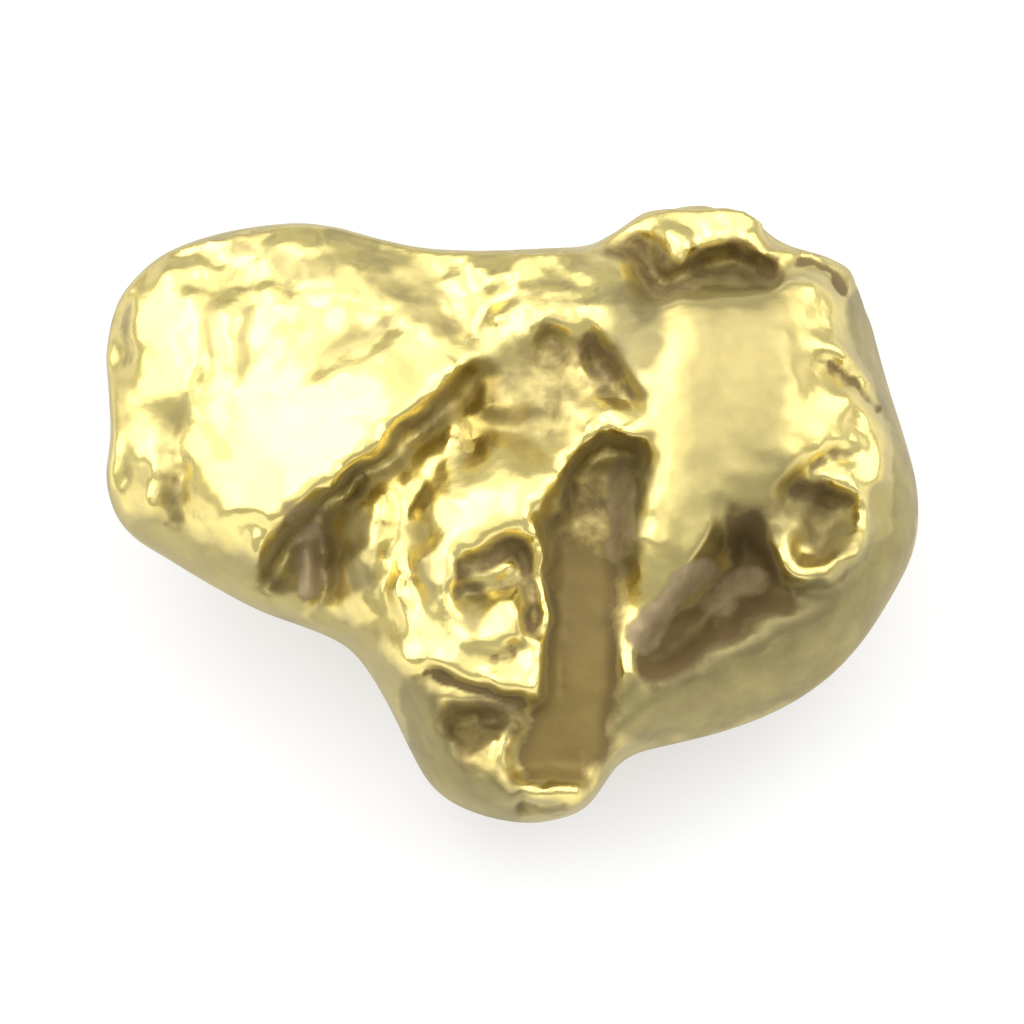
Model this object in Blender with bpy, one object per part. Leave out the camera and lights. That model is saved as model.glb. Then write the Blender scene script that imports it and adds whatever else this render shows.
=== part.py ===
"""A natural gold nugget, one solid, lying on the flat that wear has put under it.

The nugget is sculpted as a relief on a tilted plane, its face. On the face, u runs right, v runs up and w
comes out of it, all in millimetres. Seen square on, the face shows the nugget's outline.
"""

import math

import bmesh
import bpy
import numpy as np
from mathutils import Matrix, Vector, geometry, noise

# ---- Driving dimensions, in millimetres and degrees ----
MM = 0.001
WIDTH = 12.06          # across the nugget, left to right
LEAN = 30.0            # the face is leaned this far towards the viewer, from lying flat
RIM_FALL = 0.30        # how much deeper the widest line lies for each millimetre up the face
TABLE_DEPTH = 2.35     # the table lies this far under the face's own origin
UNDER_ROUND = 3.4      # width of the round from the outline to the underside
TAPER = 0.38           # how much the nugget narrows from its widest line to the table
LUMPS = 0.42           # height of the lumps and dents on the flanks and underneath
DOME = 0.006           # how fast the face falls away round its middle
CRUMPLE = 0.10         # height of the crumples on the roughest skin
CREASE = 0.08          # depth of the thin creases there
FLAT_CUT = 0.40        # how much of the lowest lumps the river has ground off
TRIANGLES = 9400       # faces of the finished solid
BALL_DIVISIONS = 7     # of the ball that is sculpted
GRID = 0.04            # spacing of the relief map
GOLD = (0.95, 0.80, 0.38, 1.0)

# The outline, seen square on, clockwise from the left end: u, v and the width of the round inside it.
OUTLINE = [
    (-6.03, 2.40, 0.08), (-5.90, 3.05, 0.08), (-5.58, 3.52, 0.08), (-5.10, 3.90, 0.08),
    (-4.30, 4.18, 0.08), (-3.30, 4.32, 0.08), (-2.60, 4.26, 0.08), (-1.90, 4.08, 0.08),
    (-1.20, 3.94, 0.08), (-0.40, 3.92, 0.08), (0.50, 3.96, 0.08), (1.15, 4.00, 0.08),
    (1.55, 4.22, 0.08), (2.00, 4.50, 0.08), (2.60, 4.58, 0.08), (3.25, 4.61, 0.08),
    (3.65, 4.48, 0.08), (4.05, 4.16, 0.30), (4.60, 3.90, 0.08), (5.00, 3.66, 0.08),
    (5.22, 3.28, 0.45), (5.40, 2.60, 0.60), (5.62, 1.80, 0.55), (5.84, 1.10, 0.50),
    (6.00, 0.50, 0.65), (6.03, -0.10, 0.80), (5.92, -0.65, 0.80), (5.65, -1.20, 0.90),
    (5.20, -1.88, 1.10), (4.60, -2.48, 1.20), (3.90, -2.92, 1.30), (3.10, -3.22, 1.20),
    (2.30, -3.42, 1.00), (1.85, -3.54, 0.60), (1.55, -3.74, 0.40), (1.30, -4.08, 0.20),
    (1.05, -4.36, 0.20), (0.65, -4.51, 0.22), (0.20, -4.56, 0.35), (-0.35, -4.47, 0.70),
    (-0.85, -4.28, 0.90), (-1.22, -3.98, 0.80), (-1.50, -3.50, 0.70), (-1.80, -2.90, 0.60),
    (-2.12, -2.36, 0.60), (-2.45, -1.98, 0.60), (-2.95, -1.73, 0.60), (-3.70, -1.46, 0.60),
    (-4.40, -1.10, 0.90), (-5.10, -0.68, 0.80), (-5.60, -0.36, 0.60), (-5.88, 0.02, 0.20),
    (-6.00, 0.55, 0.10), (-5.95, 1.15, 0.10), (-5.99, 1.80, 0.10),
]
CENTRE = (0.20, 0.30)  # the outline is star-shaped round this point

# The face's break lines, each a ridge, a foot or an edge: u, v and the height above the widest line.
LEFT_LOBE = {
    "brow": [(-5.98, 0.0, 1.5), (-6.08, 0.55, 1.65), (-6.02, 1.15, 1.7), (-6.07, 1.8, 1.75),
             (-6.10, 2.42, 1.7), (-6.02, 3.12, 1.7), (-5.63, 3.6, 1.95), (-5.13, 3.96, 1.98),
             (-4.3, 4.24, 2.0), (-3.3, 4.38, 2.02), (-2.58, 4.32, 2.0), (-1.88, 4.14, 1.98),
             (-1.2, 3.99, 2.05), (-0.4, 3.97, 2.1), (0.5, 4.01, 2.1), (1.16, 4.05, 1.9)],
    "left shoulder": [(-5.62, 3.2, 2.0), (-5.66, 2.5, 2.15), (-5.62, 1.9, 2.15), (-5.3, 1.45, 2.2)],
    "dark dimples on it": [(-5.75, 2.95, 1.4), (-5.78, 2.35, 1.5)],
    "left facet's far edge": [(-5.05, 3.6, 2.2), (-4.62, 3.1, 2.5), (-4.58, 2.4, 2.62),
                              (-4.72, 1.75, 2.6)],
    "groove beside it": [(-4.42, 3.05, 2.4), (-4.38, 2.4, 2.5), (-4.66, 1.55, 2.45), (-4.9, 1.15, 2.15)],
    "small upright ridge": [(-4.15, 3.0, 2.62), (-4.12, 2.3, 2.68)],
    "groove right of it": [(-3.9, 2.85, 2.55), (-3.95, 2.15, 2.58)],
    "plateau's high edge": [(-3.75, -0.75, 2.4), (-3.5, -0.35, 2.88), (-3.05, 0.15, 3.06),
                            (-2.7, 0.35, 3.1), (-2.4, 0.68, 3.12), (-2.05, 0.85, 3.15), (-1.75, 1.2, 3.08),
                            (-1.35, 1.5, 3.0), (-1.0, 1.8, 2.9), (-0.8, 2.05, 2.75), (-0.5, 2.2, 2.6),
                            (-0.1, 2.5, 2.6)],
    "plateau's low edge": [(-3.6, -0.05, 2.88), (-4.1, -0.05, 2.7), (-4.4, 0.5, 2.5), (-4.6, 1.15, 2.4),
                           (-4.05, 1.85, 2.5), (-3.3, 2.0, 2.66), (-2.7, 1.95, 2.8), (-2.1, 2.3, 2.8),
                           (-1.65, 2.35, 2.82), (-1.45, 1.95, 2.92)],
    "dark streak": [(-2.72, 2.18, 2.6), (-2.4, 2.35, 2.62), (-2.0, 2.68, 2.58)],
    "band above it": [(-3.6, 2.45, 2.65), (-3.0, 2.55, 2.65), (-2.35, 2.8, 2.7), (-1.6, 2.95, 2.6)],
    "pale swirl": [(-3.55, 3.35, 2.5), (-3.1, 3.1, 2.62), (-2.5, 3.2, 2.66), (-2.1, 3.45, 2.5)],
    "dip above the swirl": [(-4.0, 3.75, 2.1), (-3.9, 3.5, 2.25), (-3.4, 3.65, 2.3)],
    "upper bumps": [(-3.5, 3.95, 2.35), (-2.9, 3.75, 2.5), (-2.45, 3.6, 2.5), (-1.9, 3.6, 2.3)],
    "back of the lobe": [(-5.2, 3.72, 1.85), (-4.4, 3.98, 2.05), (-3.3, 4.14, 2.15), (-2.6, 4.08, 2.15),
                         (-1.9, 3.92, 2.0), (-1.25, 3.78, 2.1)],
    "notch": [(-3.95, -0.15, 2.35), (-3.65, -0.2, 2.5)],
    "white bump": [(-3.9, -0.75, 2.1), (-3.8, -0.4, 2.65)],
    "lower bumps": [(-5.8, 0.95, 1.85), (-5.65, 0.3, 1.75)],
    "lower bump": [(-5.5, 1.05, 2.0), (-5.28, 0.85, 2.3), (-5.22, 0.4, 2.3), (-5.4, 0.05, 2.0)],
    "dark spot": [(-4.98, 0.95, 2.12), (-4.9, 0.65, 2.1), (-4.98, 0.38, 2.0), (-4.88, 0.12, 1.9),
                  (-4.98, -0.08, 1.8)],
    "small bumps": [(-4.65, 0.7, 2.35), (-4.75, 0.3, 2.2)],
    "lower shoulder": [(-5.55, -0.1, 1.6), (-4.9, -0.35, 1.8), (-4.2, -0.5, 1.95), (-3.98, -0.95, 1.8),
                       (-3.65, -1.2, 1.55)],
}
MIDDLE_LOBE = {
    "cliff's foot": [(-3.65, -1.0, 1.1), (-3.35, -0.55, 1.15), (-2.95, 0.0, 1.4), (-2.6, 0.22, 1.6),
                     (-2.3, 0.54, 1.75), (-1.95, 0.72, 1.85), (-1.62, 1.05, 1.95), (-1.25, 1.35, 2.0),
                     (-0.92, 1.65, 2.1), (-0.68, 1.9, 2.2)],
    "pale stripe": [(-3.0, -0.4, 1.75), (-2.98, -1.15, 1.85)],
    "dark stripe": [(-2.8, -0.45, 1.2), (-2.8, -1.2, 1.2)],
    "cleft's near edge": [(-2.55, -1.55, 1.5), (-2.55, -0.9, 1.8), (-2.5, -0.4, 2.05), (-2.42, 0.1, 2.25),
                          (-2.05, 0.5, 2.3), (-1.65, 0.78, 2.35), (-1.05, 1.05, 2.4), (-0.95, 1.4, 2.35)],
    "first fold": [(-2.12, 0.32, 2.5), (-1.9, -0.1, 2.65), (-1.92, -0.45, 2.6)],
    "first fold's end": [(-2.3, -0.6, 2.35), (-2.08, -0.85, 2.45), (-2.15, -1.15, 2.3)],
    "groove beside the fold": [(-1.7, 0.4, 2.35), (-1.68, -0.1, 2.3), (-1.72, -0.5, 2.25),
                               (-1.92, -1.0, 2.15), (-1.9, -1.6, 2.0)],
    "second fold": [(-1.68, -0.75, 2.6), (-1.66, -1.2, 2.6), (-1.5, -1.65, 2.5)],
    "groove left of the facet": [(-1.52, 0.15, 2.4), (-1.52, -0.5, 2.4), (-1.48, -1.0, 2.35),
                                 (-1.3, -1.4, 2.45)],
    "bright facet": [(-1.32, 0.12, 2.74), (-0.98, 0.2, 2.92), (-0.84, -0.3, 3.02), (-0.84, -1.15, 3.05),
                     (-1.15, -1.2, 2.86), (-1.38, -0.65, 2.76)],
    "lower facet": [(-1.2, -1.5, 2.55), (-0.8, -1.38, 2.85), (-0.58, -1.7, 2.9), (-0.75, -1.98, 2.8),
                    (-1.25, -1.98, 2.5)],
    "crown": [(-0.8, 0.5, 2.8), (-0.4, 0.35, 3.05), (0.1, 0.45, 3.05), (0.62, 0.5, 2.95)],
    "upper lip": [(-0.72, -0.6, 3.0), (-0.45, -0.38, 3.08), (-0.08, -0.28, 3.05), (0.12, -0.35, 3.0)],
    "hollow under the lip": [(-0.74, -0.84, 2.5), (-0.4, -0.62, 2.45), (0.02, -0.5, 2.38),
                             (0.26, -0.8, 2.3), (0.32, -1.3, 2.25), (0.3, -1.75, 2.3)],
    "tongue": [(-0.76, -1.02, 2.7), (-0.4, -0.92, 2.82), (0.04, -0.78, 2.86)],
    "slot under the tongue": [(-0.8, -1.2, 2.4), (-0.4, -1.12, 2.3), (-0.05, -1.02, 2.3)],
    "nodule": [(-0.55, -1.5, 2.7), (-0.28, -1.28, 2.86), (0.05, -1.22, 2.94), (0.14, -1.5, 3.02),
               (0.12, -1.82, 3.0)],
    "nodule's foot": [(-0.5, -1.85, 2.78), (-0.2, -1.8, 2.92), (0.02, -2.0, 2.6)],
    "right rim": [(-0.12, 0.14, 3.1), (0.2, 0.0, 3.2), (0.4, -0.35, 3.12), (0.45, -0.8, 2.95),
                  (0.46, -1.4, 2.82), (0.48, -1.9, 2.78), (0.4, -2.3, 2.8)],
    "groove over the shelf": [(-0.72, -2.06, 2.62), (-0.4, -2.1, 2.66), (0.1, -2.24, 2.74)],
    "shelf": [(-1.48, -2.14, 2.5), (-1.2, -2.17, 2.66), (-0.9, -2.31, 2.76), (-0.55, -2.41, 2.84),
              (-0.2, -2.5, 2.93), (0.15, -2.6, 2.98), (0.45, -2.7, 2.8)],
    "under the shelf": [(-1.18, -2.3, 2.15), (-0.8, -2.42, 2.05), (-0.35, -2.54, 2.05), (0.1, -2.68, 1.95),
                        (0.38, -2.84, 1.8)],
    "stripe": [(-1.0, -2.58, 2.28), (-0.6, -2.66, 2.36), (-0.2, -2.76, 2.32), (0.1, -2.86, 2.1)],
    "recess": [(-0.95, -2.86, 1.8), (-0.6, -2.93, 1.62), (-0.2, -2.95, 1.65)],
    "recess's end": [(-0.78, -3.28, 1.65), (-0.5, -3.3, 1.72)],
    "recess's left edge": [(-1.3, -2.36, 2.25), (-1.12, -2.8, 2.2), (-1.0, -3.2, 2.1),
                           (-0.85, -3.6, 1.95)],
    "recess's right edge": [(0.25, -3.0, 1.95), (0.02, -3.15, 2.05), (-0.25, -3.42, 2.05),
                            (-0.15, -3.8, 1.95)],
    "tip's groove": [(-0.05, -3.76, 1.55), (0.3, -3.74, 1.5), (0.7, -3.76, 1.5), (1.1, -3.82, 1.5)],
    "tip's ridge": [(0.0, -3.92, 1.86), (0.35, -3.9, 2.0), (0.7, -3.93, 2.06), (1.0, -4.01, 2.0),
                    (1.17, -4.25, 1.78), (0.92, -4.23, 2.04), (0.6, -4.14, 2.12), (0.08, -4.1, 2.0)],
    "under the tip's ridge": [(0.12, -4.26, 1.4), (0.45, -4.3, 1.35), (0.82, -4.36, 1.35)],
}
CHANNEL = {
    "left foot": [(0.58, -0.2, 1.95), (0.62, -1.0, 1.9), (0.6, -2.0, 1.85), (0.56, -2.7, 1.8),
                  (0.12, -3.3, 1.7), (0.1, -3.68, 1.6)],
    "right foot": [(1.35, -0.9, 1.95), (1.4, -2.0, 1.85), (1.4, -2.8, 1.75), (1.2, -3.5, 1.6)],
    "right edge": [(1.5, -1.3, 2.05), (1.6, -2.0, 2.2), (1.7, -2.35, 2.25), (1.55, -2.6, 2.0),
                   (1.52, -3.2, 1.8), (1.5, -3.6, 1.5)],
    "hole's edge": [(0.68, 0.1, 2.75), (0.75, 0.55, 2.9), (0.95, 0.98, 2.92), (1.25, 1.08, 2.9),
                    (1.35, 1.23, 2.95), (1.65, 1.15, 3.0), (1.95, 1.06, 3.0)],
    "hole's back": [(0.85, 0.1, 1.9), (0.9, 0.5, 1.8), (1.05, 0.85, 1.75), (1.4, 1.02, 1.8),
                    (1.85, 0.9, 1.9)],
    "hole's floor": [(1.15, 0.3, 1.85), (1.4, 0.6, 1.9), (1.6, 0.8, 1.9)],
    "hole's right side": [(1.75, 0.55, 2.3), (1.62, 0.2, 2.05)],
    "small bump": [(0.82, -0.12, 2.05), (0.9, -0.28, 2.0)],
    "floor ripple": [(0.9, -0.75, 1.85), (1.25, -0.7, 1.9)],
    "patch": [(1.5, 0.02, 1.95), (1.5, -0.4, 2.05), (1.7, -0.85, 2.15)],
    "barrel's sharp edge": [(1.96, 0.98, 3.0), (1.93, 0.5, 2.98), (1.86, 0.0, 2.92), (1.74, -0.5, 2.75),
                            (1.9, -0.95, 2.5)],
    "bright strip": [(2.22, 1.0, 3.14), (2.2, 0.5, 3.12), (2.16, 0.0, 3.06), (2.16, -0.5, 2.94),
                     (2.14, -0.95, 2.6)],
    "triangle": [(1.62, 0.0, 2.35), (1.6, -0.3, 2.45)],
}
RIGHT_LOBE = {
    "barrel's left": [(2.4, 3.18, 2.98), (2.34, 2.6, 3.16), (2.36, 1.8, 3.18), (2.42, 1.0, 3.15),
                      (2.42, 0.2, 3.06), (2.38, -0.6, 2.8)],
    "barrel's crest": [(2.95, 3.15, 3.1), (3.0, 2.7, 3.26), (3.0, 2.0, 3.26), (3.05, 1.2, 3.2),
                       (3.05, 0.6, 3.12), (3.0, 0.1, 3.0), (2.8, -0.4, 2.85), (2.55, -0.9, 2.62),
                       (2.2, -1.3, 2.45), (1.9, -1.7, 2.2)],
    "barrel's right": [(3.75, 3.15, 3.05), (3.95, 2.6, 3.22), (4.05, 2.0, 3.24), (4.12, 1.4, 3.2),
                       (4.12, 0.85, 3.1), (3.95, 0.55, 2.95), (3.6, 0.1, 2.8), (3.25, -0.12, 2.65),
                       (2.95, -0.45, 2.4)],
    "upper facet": [(4.0, 3.42, 2.9), (4.5, 3.42, 2.62), (4.78, 3.1, 2.5), (4.75, 2.65, 2.62)],
    "ridge over the scratch": [(4.2, 2.5, 3.05), (4.75, 2.42, 2.85), (5.08, 2.17, 2.65), (5.4, 1.76, 2.4)],
    "scratch": [(4.62, 2.14, 2.55), (5.03, 1.9, 2.15), (5.38, 1.52, 1.95)],
    "ridge under the scratch": [(4.55, 1.95, 2.85), (5.0, 1.7, 2.62), (5.33, 1.35, 2.42),
                                (5.52, 1.1, 2.2)],
    "second scratch": [(5.05, 1.42, 2.4), (5.35, 1.0, 2.25)],
    "facet's foot": [(4.25, 0.85, 2.98), (4.7, 1.04, 2.85), (5.1, 1.08, 2.55)],
    "groove over the pit": [(4.3, 0.64, 2.55), (4.65, 0.84, 2.45), (5.0, 0.9, 2.35), (5.2, 0.75, 2.35)],
    "right bright strip": [(5.42, 0.88, 2.3), (5.35, 0.55, 2.4), (5.24, 0.28, 2.35)],
    "right shoulder": [(4.95, 3.25, 2.0), (4.92, 2.8, 2.2), (5.15, 2.4, 2.1), (5.52, 1.75, 1.95),
                       (5.65, 1.2, 1.85), (5.6, 0.6, 1.9), (5.5, 0.2, 1.8)],
    "pit's upper rim": [(4.45, 0.58, 2.8), (4.8, 0.5, 2.78), (5.08, 0.26, 2.55)],
    "pit's dark corners": [(4.2, 0.42, 2.2), (4.35, 0.25, 2.35)],
    "pit's floor": [(4.65, 0.3, 2.1), (4.86, 0.12, 2.0), (4.74, -0.25, 2.0), (4.52, -0.5, 2.0),
                    (4.25, -0.62, 2.1)],
    "pit's bump": [(4.12, -0.1, 2.5), (4.18, -0.32, 2.45)],
    "pit's middle": [(4.4, -0.05, 2.25), (4.45, -0.35, 2.2)],
    "curl": [(3.9, -0.52, 2.6), (3.95, -0.82, 2.62), (4.2, -0.99, 2.66), (4.56, -1.0, 2.64),
             (4.84, -0.8, 2.6), (5.12, -0.57, 2.5), (5.22, -0.2, 2.45), (5.2, 0.05, 2.4)],
    "curl's inner edge": [(4.06, -0.56, 2.6), (4.1, -0.76, 2.62), (4.28, -0.86, 2.66), (4.5, -0.86, 2.66),
                          (4.72, -0.68, 2.62), (4.98, -0.46, 2.52)],
    "under the curl": [(3.85, -1.0, 1.75), (4.15, -1.16, 1.85), (4.65, -1.16, 1.85), (5.02, -0.85, 1.85),
                       (5.34, -0.35, 1.75), (5.36, 0.12, 1.85)],
    "hollow's upper edge": [(3.35, -0.22, 2.3), (3.08, -0.42, 2.0), (2.85, -0.8, 1.85), (2.68, -1.2, 1.8),
                            (2.3, -1.55, 1.8), (1.88, -1.98, 1.8)],
    "hollow's floor": [(1.98, -2.18, 1.55), (2.5, -1.9, 1.4), (2.95, -1.5, 1.35), (3.2, -1.0, 1.4),
                       (3.45, -0.4, 1.6), (3.72, -0.62, 1.6)],
    "hollow's far floor": [(3.2, -1.52, 1.45), (3.62, -1.22, 1.5)],
    "hollow's lower edge": [(1.9, -2.48, 2.05), (2.38, -2.38, 2.1), (2.86, -2.13, 2.12),
                            (3.38, -1.82, 2.12), (3.9, -1.48, 2.1), (4.3, -1.42, 2.0), (4.8, -1.3, 1.92),
                            (5.3, -0.75, 1.85)],
    "bright speck": [(1.72, -2.12, 2.35), (1.78, -2.34, 2.3)],
    "low band": [(1.9, -2.9, 1.9), (2.8, -2.7, 1.95), (3.8, -2.3, 1.95), (4.7, -1.8, 1.85),
                 (5.3, -1.3, 1.7)],
}
KNOB = {
    "knob's brow": [(1.6, 4.32, 1.65), (1.98, 4.56, 1.8), (2.6, 4.64, 1.9), (3.26, 4.67, 1.9),
                    (3.69, 4.54, 1.85), (4.1, 4.22, 1.75)],
    "knob's crest": [(1.7, 4.15, 1.75), (2.2, 4.3, 2.05), (3.0, 4.35, 2.1), (3.5, 4.3, 2.05),
                     (3.95, 4.02, 1.95)],
    "spur": [(2.22, 4.18, 2.2), (2.4, 4.0, 2.4), (2.45, 3.66, 2.35)],
    "knob's streaks": [(2.72, 4.26, 1.96), (2.74, 4.0, 2.02)],
    "knob's other streak": [(3.25, 4.26, 2.0), (3.2, 4.12, 2.04)],
    "knob's lower edge": [(2.62, 3.82, 2.15), (3.0, 3.98, 2.2), (3.42, 4.1, 2.15), (3.58, 3.95, 2.3),
                          (3.75, 3.78, 2.3)],
    "cleft": [(1.4, 3.98, 1.75), (1.75, 3.92, 1.6), (1.98, 4.02, 1.6), (2.05, 3.6, 1.5),
              (2.15, 3.3, 1.75)],
    "cleft's bend": [(2.35, 3.45, 1.6), (2.7, 3.6, 1.4), (3.2, 3.7, 1.35), (3.6, 3.6, 1.5),
                     (3.85, 3.55, 1.75)],
    "cleft's near edge": [(2.5, 3.34, 2.3), (3.0, 3.3, 2.45), (3.6, 3.35, 2.4)],
    "dark line": [(4.05, 3.64, 2.2), (4.4, 3.68, 1.95), (4.72, 3.58, 1.85), (4.85, 3.36, 1.8)],
    "rim over the line": [(4.1, 3.86, 2.25), (4.6, 3.8, 1.95), (5.0, 3.56, 1.6)],
}
SADDLE = {
    "upper edge": [(-0.6, 3.75, 2.3), (0.3, 3.8, 2.3), (1.1, 3.82, 2.15)],
    "arch": [(-0.95, 3.2, 2.4), (-0.6, 3.2, 2.55), (-0.35, 3.48, 2.6), (0.1, 3.4, 2.45)],
    "under the arch": [(-0.9, 2.9, 2.35), (-0.6, 2.68, 2.42), (-0.3, 3.1, 2.42)],
    "left knob": [(-1.38, 2.75, 2.7), (-1.2, 2.55, 2.7)],
    "bright block": [(-0.26, 2.98, 2.6), (-0.08, 2.76, 2.7)],
    "crescent": [(0.12, 2.52, 2.65), (0.32, 2.62, 2.8), (0.4, 2.88, 2.8), (0.2, 3.12, 2.65)],
    "plate": [(0.62, 3.35, 2.5), (1.1, 3.45, 2.5), (1.62, 3.6, 2.35), (1.68, 3.2, 2.65), (1.2, 3.05, 2.85),
              (0.65, 3.0, 2.75)],
    "bowl's upper edge": [(0.52, 2.78, 2.7), (0.75, 2.78, 2.75), (0.92, 2.62, 2.65), (1.05, 2.85, 2.75)],
    "first dark pocket": [(0.52, 2.58, 2.35), (0.75, 2.5, 2.3), (0.92, 2.42, 2.35)],
    "rib between the pockets": [(0.92, 2.25, 2.6), (1.02, 2.5, 2.65)],
    "second dark pocket": [(1.15, 2.5, 2.25), (1.25, 2.2, 2.2), (1.48, 2.02, 2.3)],
    "third dark pocket": [(1.3, 1.85, 2.45), (1.55, 1.72, 2.45), (1.78, 1.7, 2.55)],
    "bowl's right edge": [(1.36, 3.0, 2.9), (1.42, 2.6, 2.98), (1.64, 2.12, 3.02), (1.88, 1.85, 3.08),
                          (2.02, 1.3, 3.1)],
    "left of the barrel": [(1.7, 3.05, 2.85), (1.78, 2.6, 3.0), (2.05, 2.25, 3.06)],
    "light spot there": [(1.98, 2.8, 3.08), (2.0, 2.6, 3.12)],
    "bowl's floor": [(-0.05, 2.2, 2.5), (0.3, 2.15, 2.4), (0.6, 2.1, 2.38)],
    "bowl's low side": [(0.0, 1.65, 2.45), (0.5, 1.5, 2.42), (0.75, 1.25, 2.5)],
    "diagonal ridge": [(0.72, 1.85, 2.6), (0.95, 1.5, 2.75), (1.22, 1.15, 2.92)],
    "right of the ridge": [(1.12, 1.58, 2.6), (1.45, 1.5, 2.85), (1.7, 1.42, 2.9)],
    "stained dip": [(-0.3, 1.95, 2.35), (-0.55, 1.75, 2.25), (-0.6, 1.3, 2.25), (-0.58, 0.95, 2.35)],
    "stained dip's arm": [(-0.25, 1.25, 2.3), (0.2, 1.25, 2.32), (0.4, 1.1, 2.4)],
    "bead": [(-0.33, 1.62, 2.55), (-0.3, 1.48, 2.5)],
    "second bead": [(-0.35, 0.95, 2.7), (-0.3, 0.8, 2.78)],
    "shallow rise": [(-0.9, 1.2, 2.5), (-0.85, 0.85, 2.65), (-1.2, 0.55, 2.55)],
}

# Where the skin is crumpled: u, v, reach and strength.
ROUGH = [
    (-3.3, 3.4, 1.1, 1.0), (-1.9, 3.2, 1.0, 0.9), (-4.5, 2.4, 0.5, 0.7), (-5.2, 0.6, 0.6, 0.8),
    (-3.9, 2.0, 0.8, 0.5), (-0.4, 3.1, 1.1, 1.0), (0.9, 3.2, 0.9, 0.9), (0.3, 1.8, 1.0, 0.8),
    (-1.2, 0.6, 0.8, 0.8), (-0.5, -1.2, 0.9, 0.6), (-1.9, -0.8, 0.7, 0.8), (2.9, 4.2, 1.0, 0.8),
    (4.8, 2.4, 0.8, 0.4), (4.6, 0.0, 0.7, 0.7), (-0.3, -2.7, 0.7, 0.5), (-4.4, 3.7, 0.7, 0.9),
    (1.4, 0.3, 0.8, 0.6), (3.0, -1.2, 0.9, 0.7), (-2.9, -0.8, 0.6, 0.6), (-4.6, -0.2, 0.5, 0.5),
    (-5.9, 2.6, 0.45, 0.9), (-5.9, 0.6, 0.5, 0.9), (-5.5, 3.6, 0.4, 0.6), (-2.2, 2.4, 0.7, 0.5),
    (5.4, 1.0, 0.6, 0.5), (0.5, -4.2, 0.6, 0.6), (-1.6, -1.9, 0.6, 0.5), (3.0, 3.6, 0.6, 0.9),
    (2.8, -1.6, 0.6, 0.8), (-0.6, -3.0, 0.5, 0.7), (1.0, -1.4, 0.5, 0.5), (0.9, -2.8, 0.5, 0.5),
    (1.9, 2.8, 0.5, 0.8),
]
SHOULDER_HEIGHT = 1.6  # of the net where it runs out under the outline


def smooth_curve(points, per_span=6):
    """A smooth closed line through the points, as an array of (u, v)."""
    points = np.array(points, float)
    padded = np.vstack([points[-1:], points, points[:2]])
    t = np.linspace(0, 1, per_span, endpoint=False)[:, None]
    spans = []
    for a, b, c, d in zip(padded, padded[1:], padded[2:], padded[3:]):
        spans.append(0.5 * (2 * b + (c - a) * t + (2 * a - 5 * b + 4 * c - d) * t**2
                            + (3 * b - a - 3 * c + d) * t**3))
    return np.vstack(spans)


def line_distance(u, v, line):
    """How far each point is from the line."""
    best = np.full(u.shape, 1e9)
    for (au, av), (bu, bv) in zip(line, line[1:]):
        length2 = (bu - au) ** 2 + (bv - av) ** 2
        t = np.clip(((u - au) * (bu - au) + (v - av) * (bv - av)) / length2, 0, 1)
        best = np.minimum(best, np.hypot(u - au - t * (bu - au), v - av - t * (bv - av)))
    return best


def net_triangles():
    """The break lines joined into a net of triangles, each as three corners with their heights."""
    places, heights, edges = [], [], []
    for group in (LEFT_LOBE, MIDDLE_LOBE, CHANNEL, RIGHT_LOBE, KNOB, SADDLE):
        for line in group.values():
            first = len(places)
            places += [Vector(p[:2]) for p in line]
            heights += [p[2] for p in line]
            edges += [(i, i + 1) for i in range(first, len(places) - 1)]
    for u, v, _ in OUTLINE:
        places.append(Vector((u, v)) * 1.06)
        heights.append(SHOULDER_HEIGHT)
    verts, _, faces, origins, *_ = geometry.delaunay_2d_cdt(places, edges, [], 0, 1e-5, True)
    levels = [np.mean([heights[i] for i in origin]) for origin in origins]
    return [[(*verts[i], levels[i]) for i in face] for face in faces]


def net_height(u, v):
    """The height of the net of break lines over the map."""
    height = np.full(u.shape, SHOULDER_HEIGHT)
    for (au, av, a), (bu, bv, b), (cu, cv, c) in net_triangles():
        area = (bu - au) * (cv - av) - (bv - av) * (cu - au)
        share_b = ((u - au) * (cv - av) - (v - av) * (cu - au)) / area
        share_c = ((bu - au) * (v - av) - (bv - av) * (u - au)) / area
        inside = (share_b >= 0) & (share_c >= 0) & (share_b + share_c <= 1)
        height[inside] = (a + share_b * (b - a) + share_c * (c - a))[inside]
    return height


def soften(height, radius):
    """Rounds the map's edges off with a bell-shaped brush of that radius in millimetres."""
    reach = int(math.ceil(3 * radius / GRID))
    bell = np.exp(-0.5 * (np.arange(-reach, reach + 1) * GRID / radius) ** 2)
    bell /= bell.sum()
    for axis in (0, 1):
        padded = np.pad(height, [(reach, reach) if a == axis else (0, 0) for a in (0, 1)], mode="edge")
        height = sum(weight * np.take(padded, range(i, i + height.shape[axis]), axis)
                     for i, weight in enumerate(bell))
    return height


def sample(us, vs, field, u, v):
    """The map's value between its grid points."""
    x = np.clip((u - us[0]) / GRID, 0, len(us) - 1.001)
    y = np.clip((v - vs[0]) / GRID, 0, len(vs) - 1.001)
    i, j = x.astype(int), y.astype(int)
    fx, fy = x - i, y - j
    low = field[j, i] * (1 - fx) + field[j, i + 1] * fx
    high = field[j + 1, i] * (1 - fx) + field[j + 1, i + 1] * fx
    return low * (1 - fy) + high * fy


def dents(u, v, cell):
    """Dents side by side with ridges between them: 0 in the middle of a dent, about 1 on a ridge."""
    found = [noise.voronoi(Vector((a / cell, b / cell, 0.4)))[0][0] for a, b in zip(u.flat, v.flat)]
    return np.array(found).reshape(u.shape)


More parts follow.
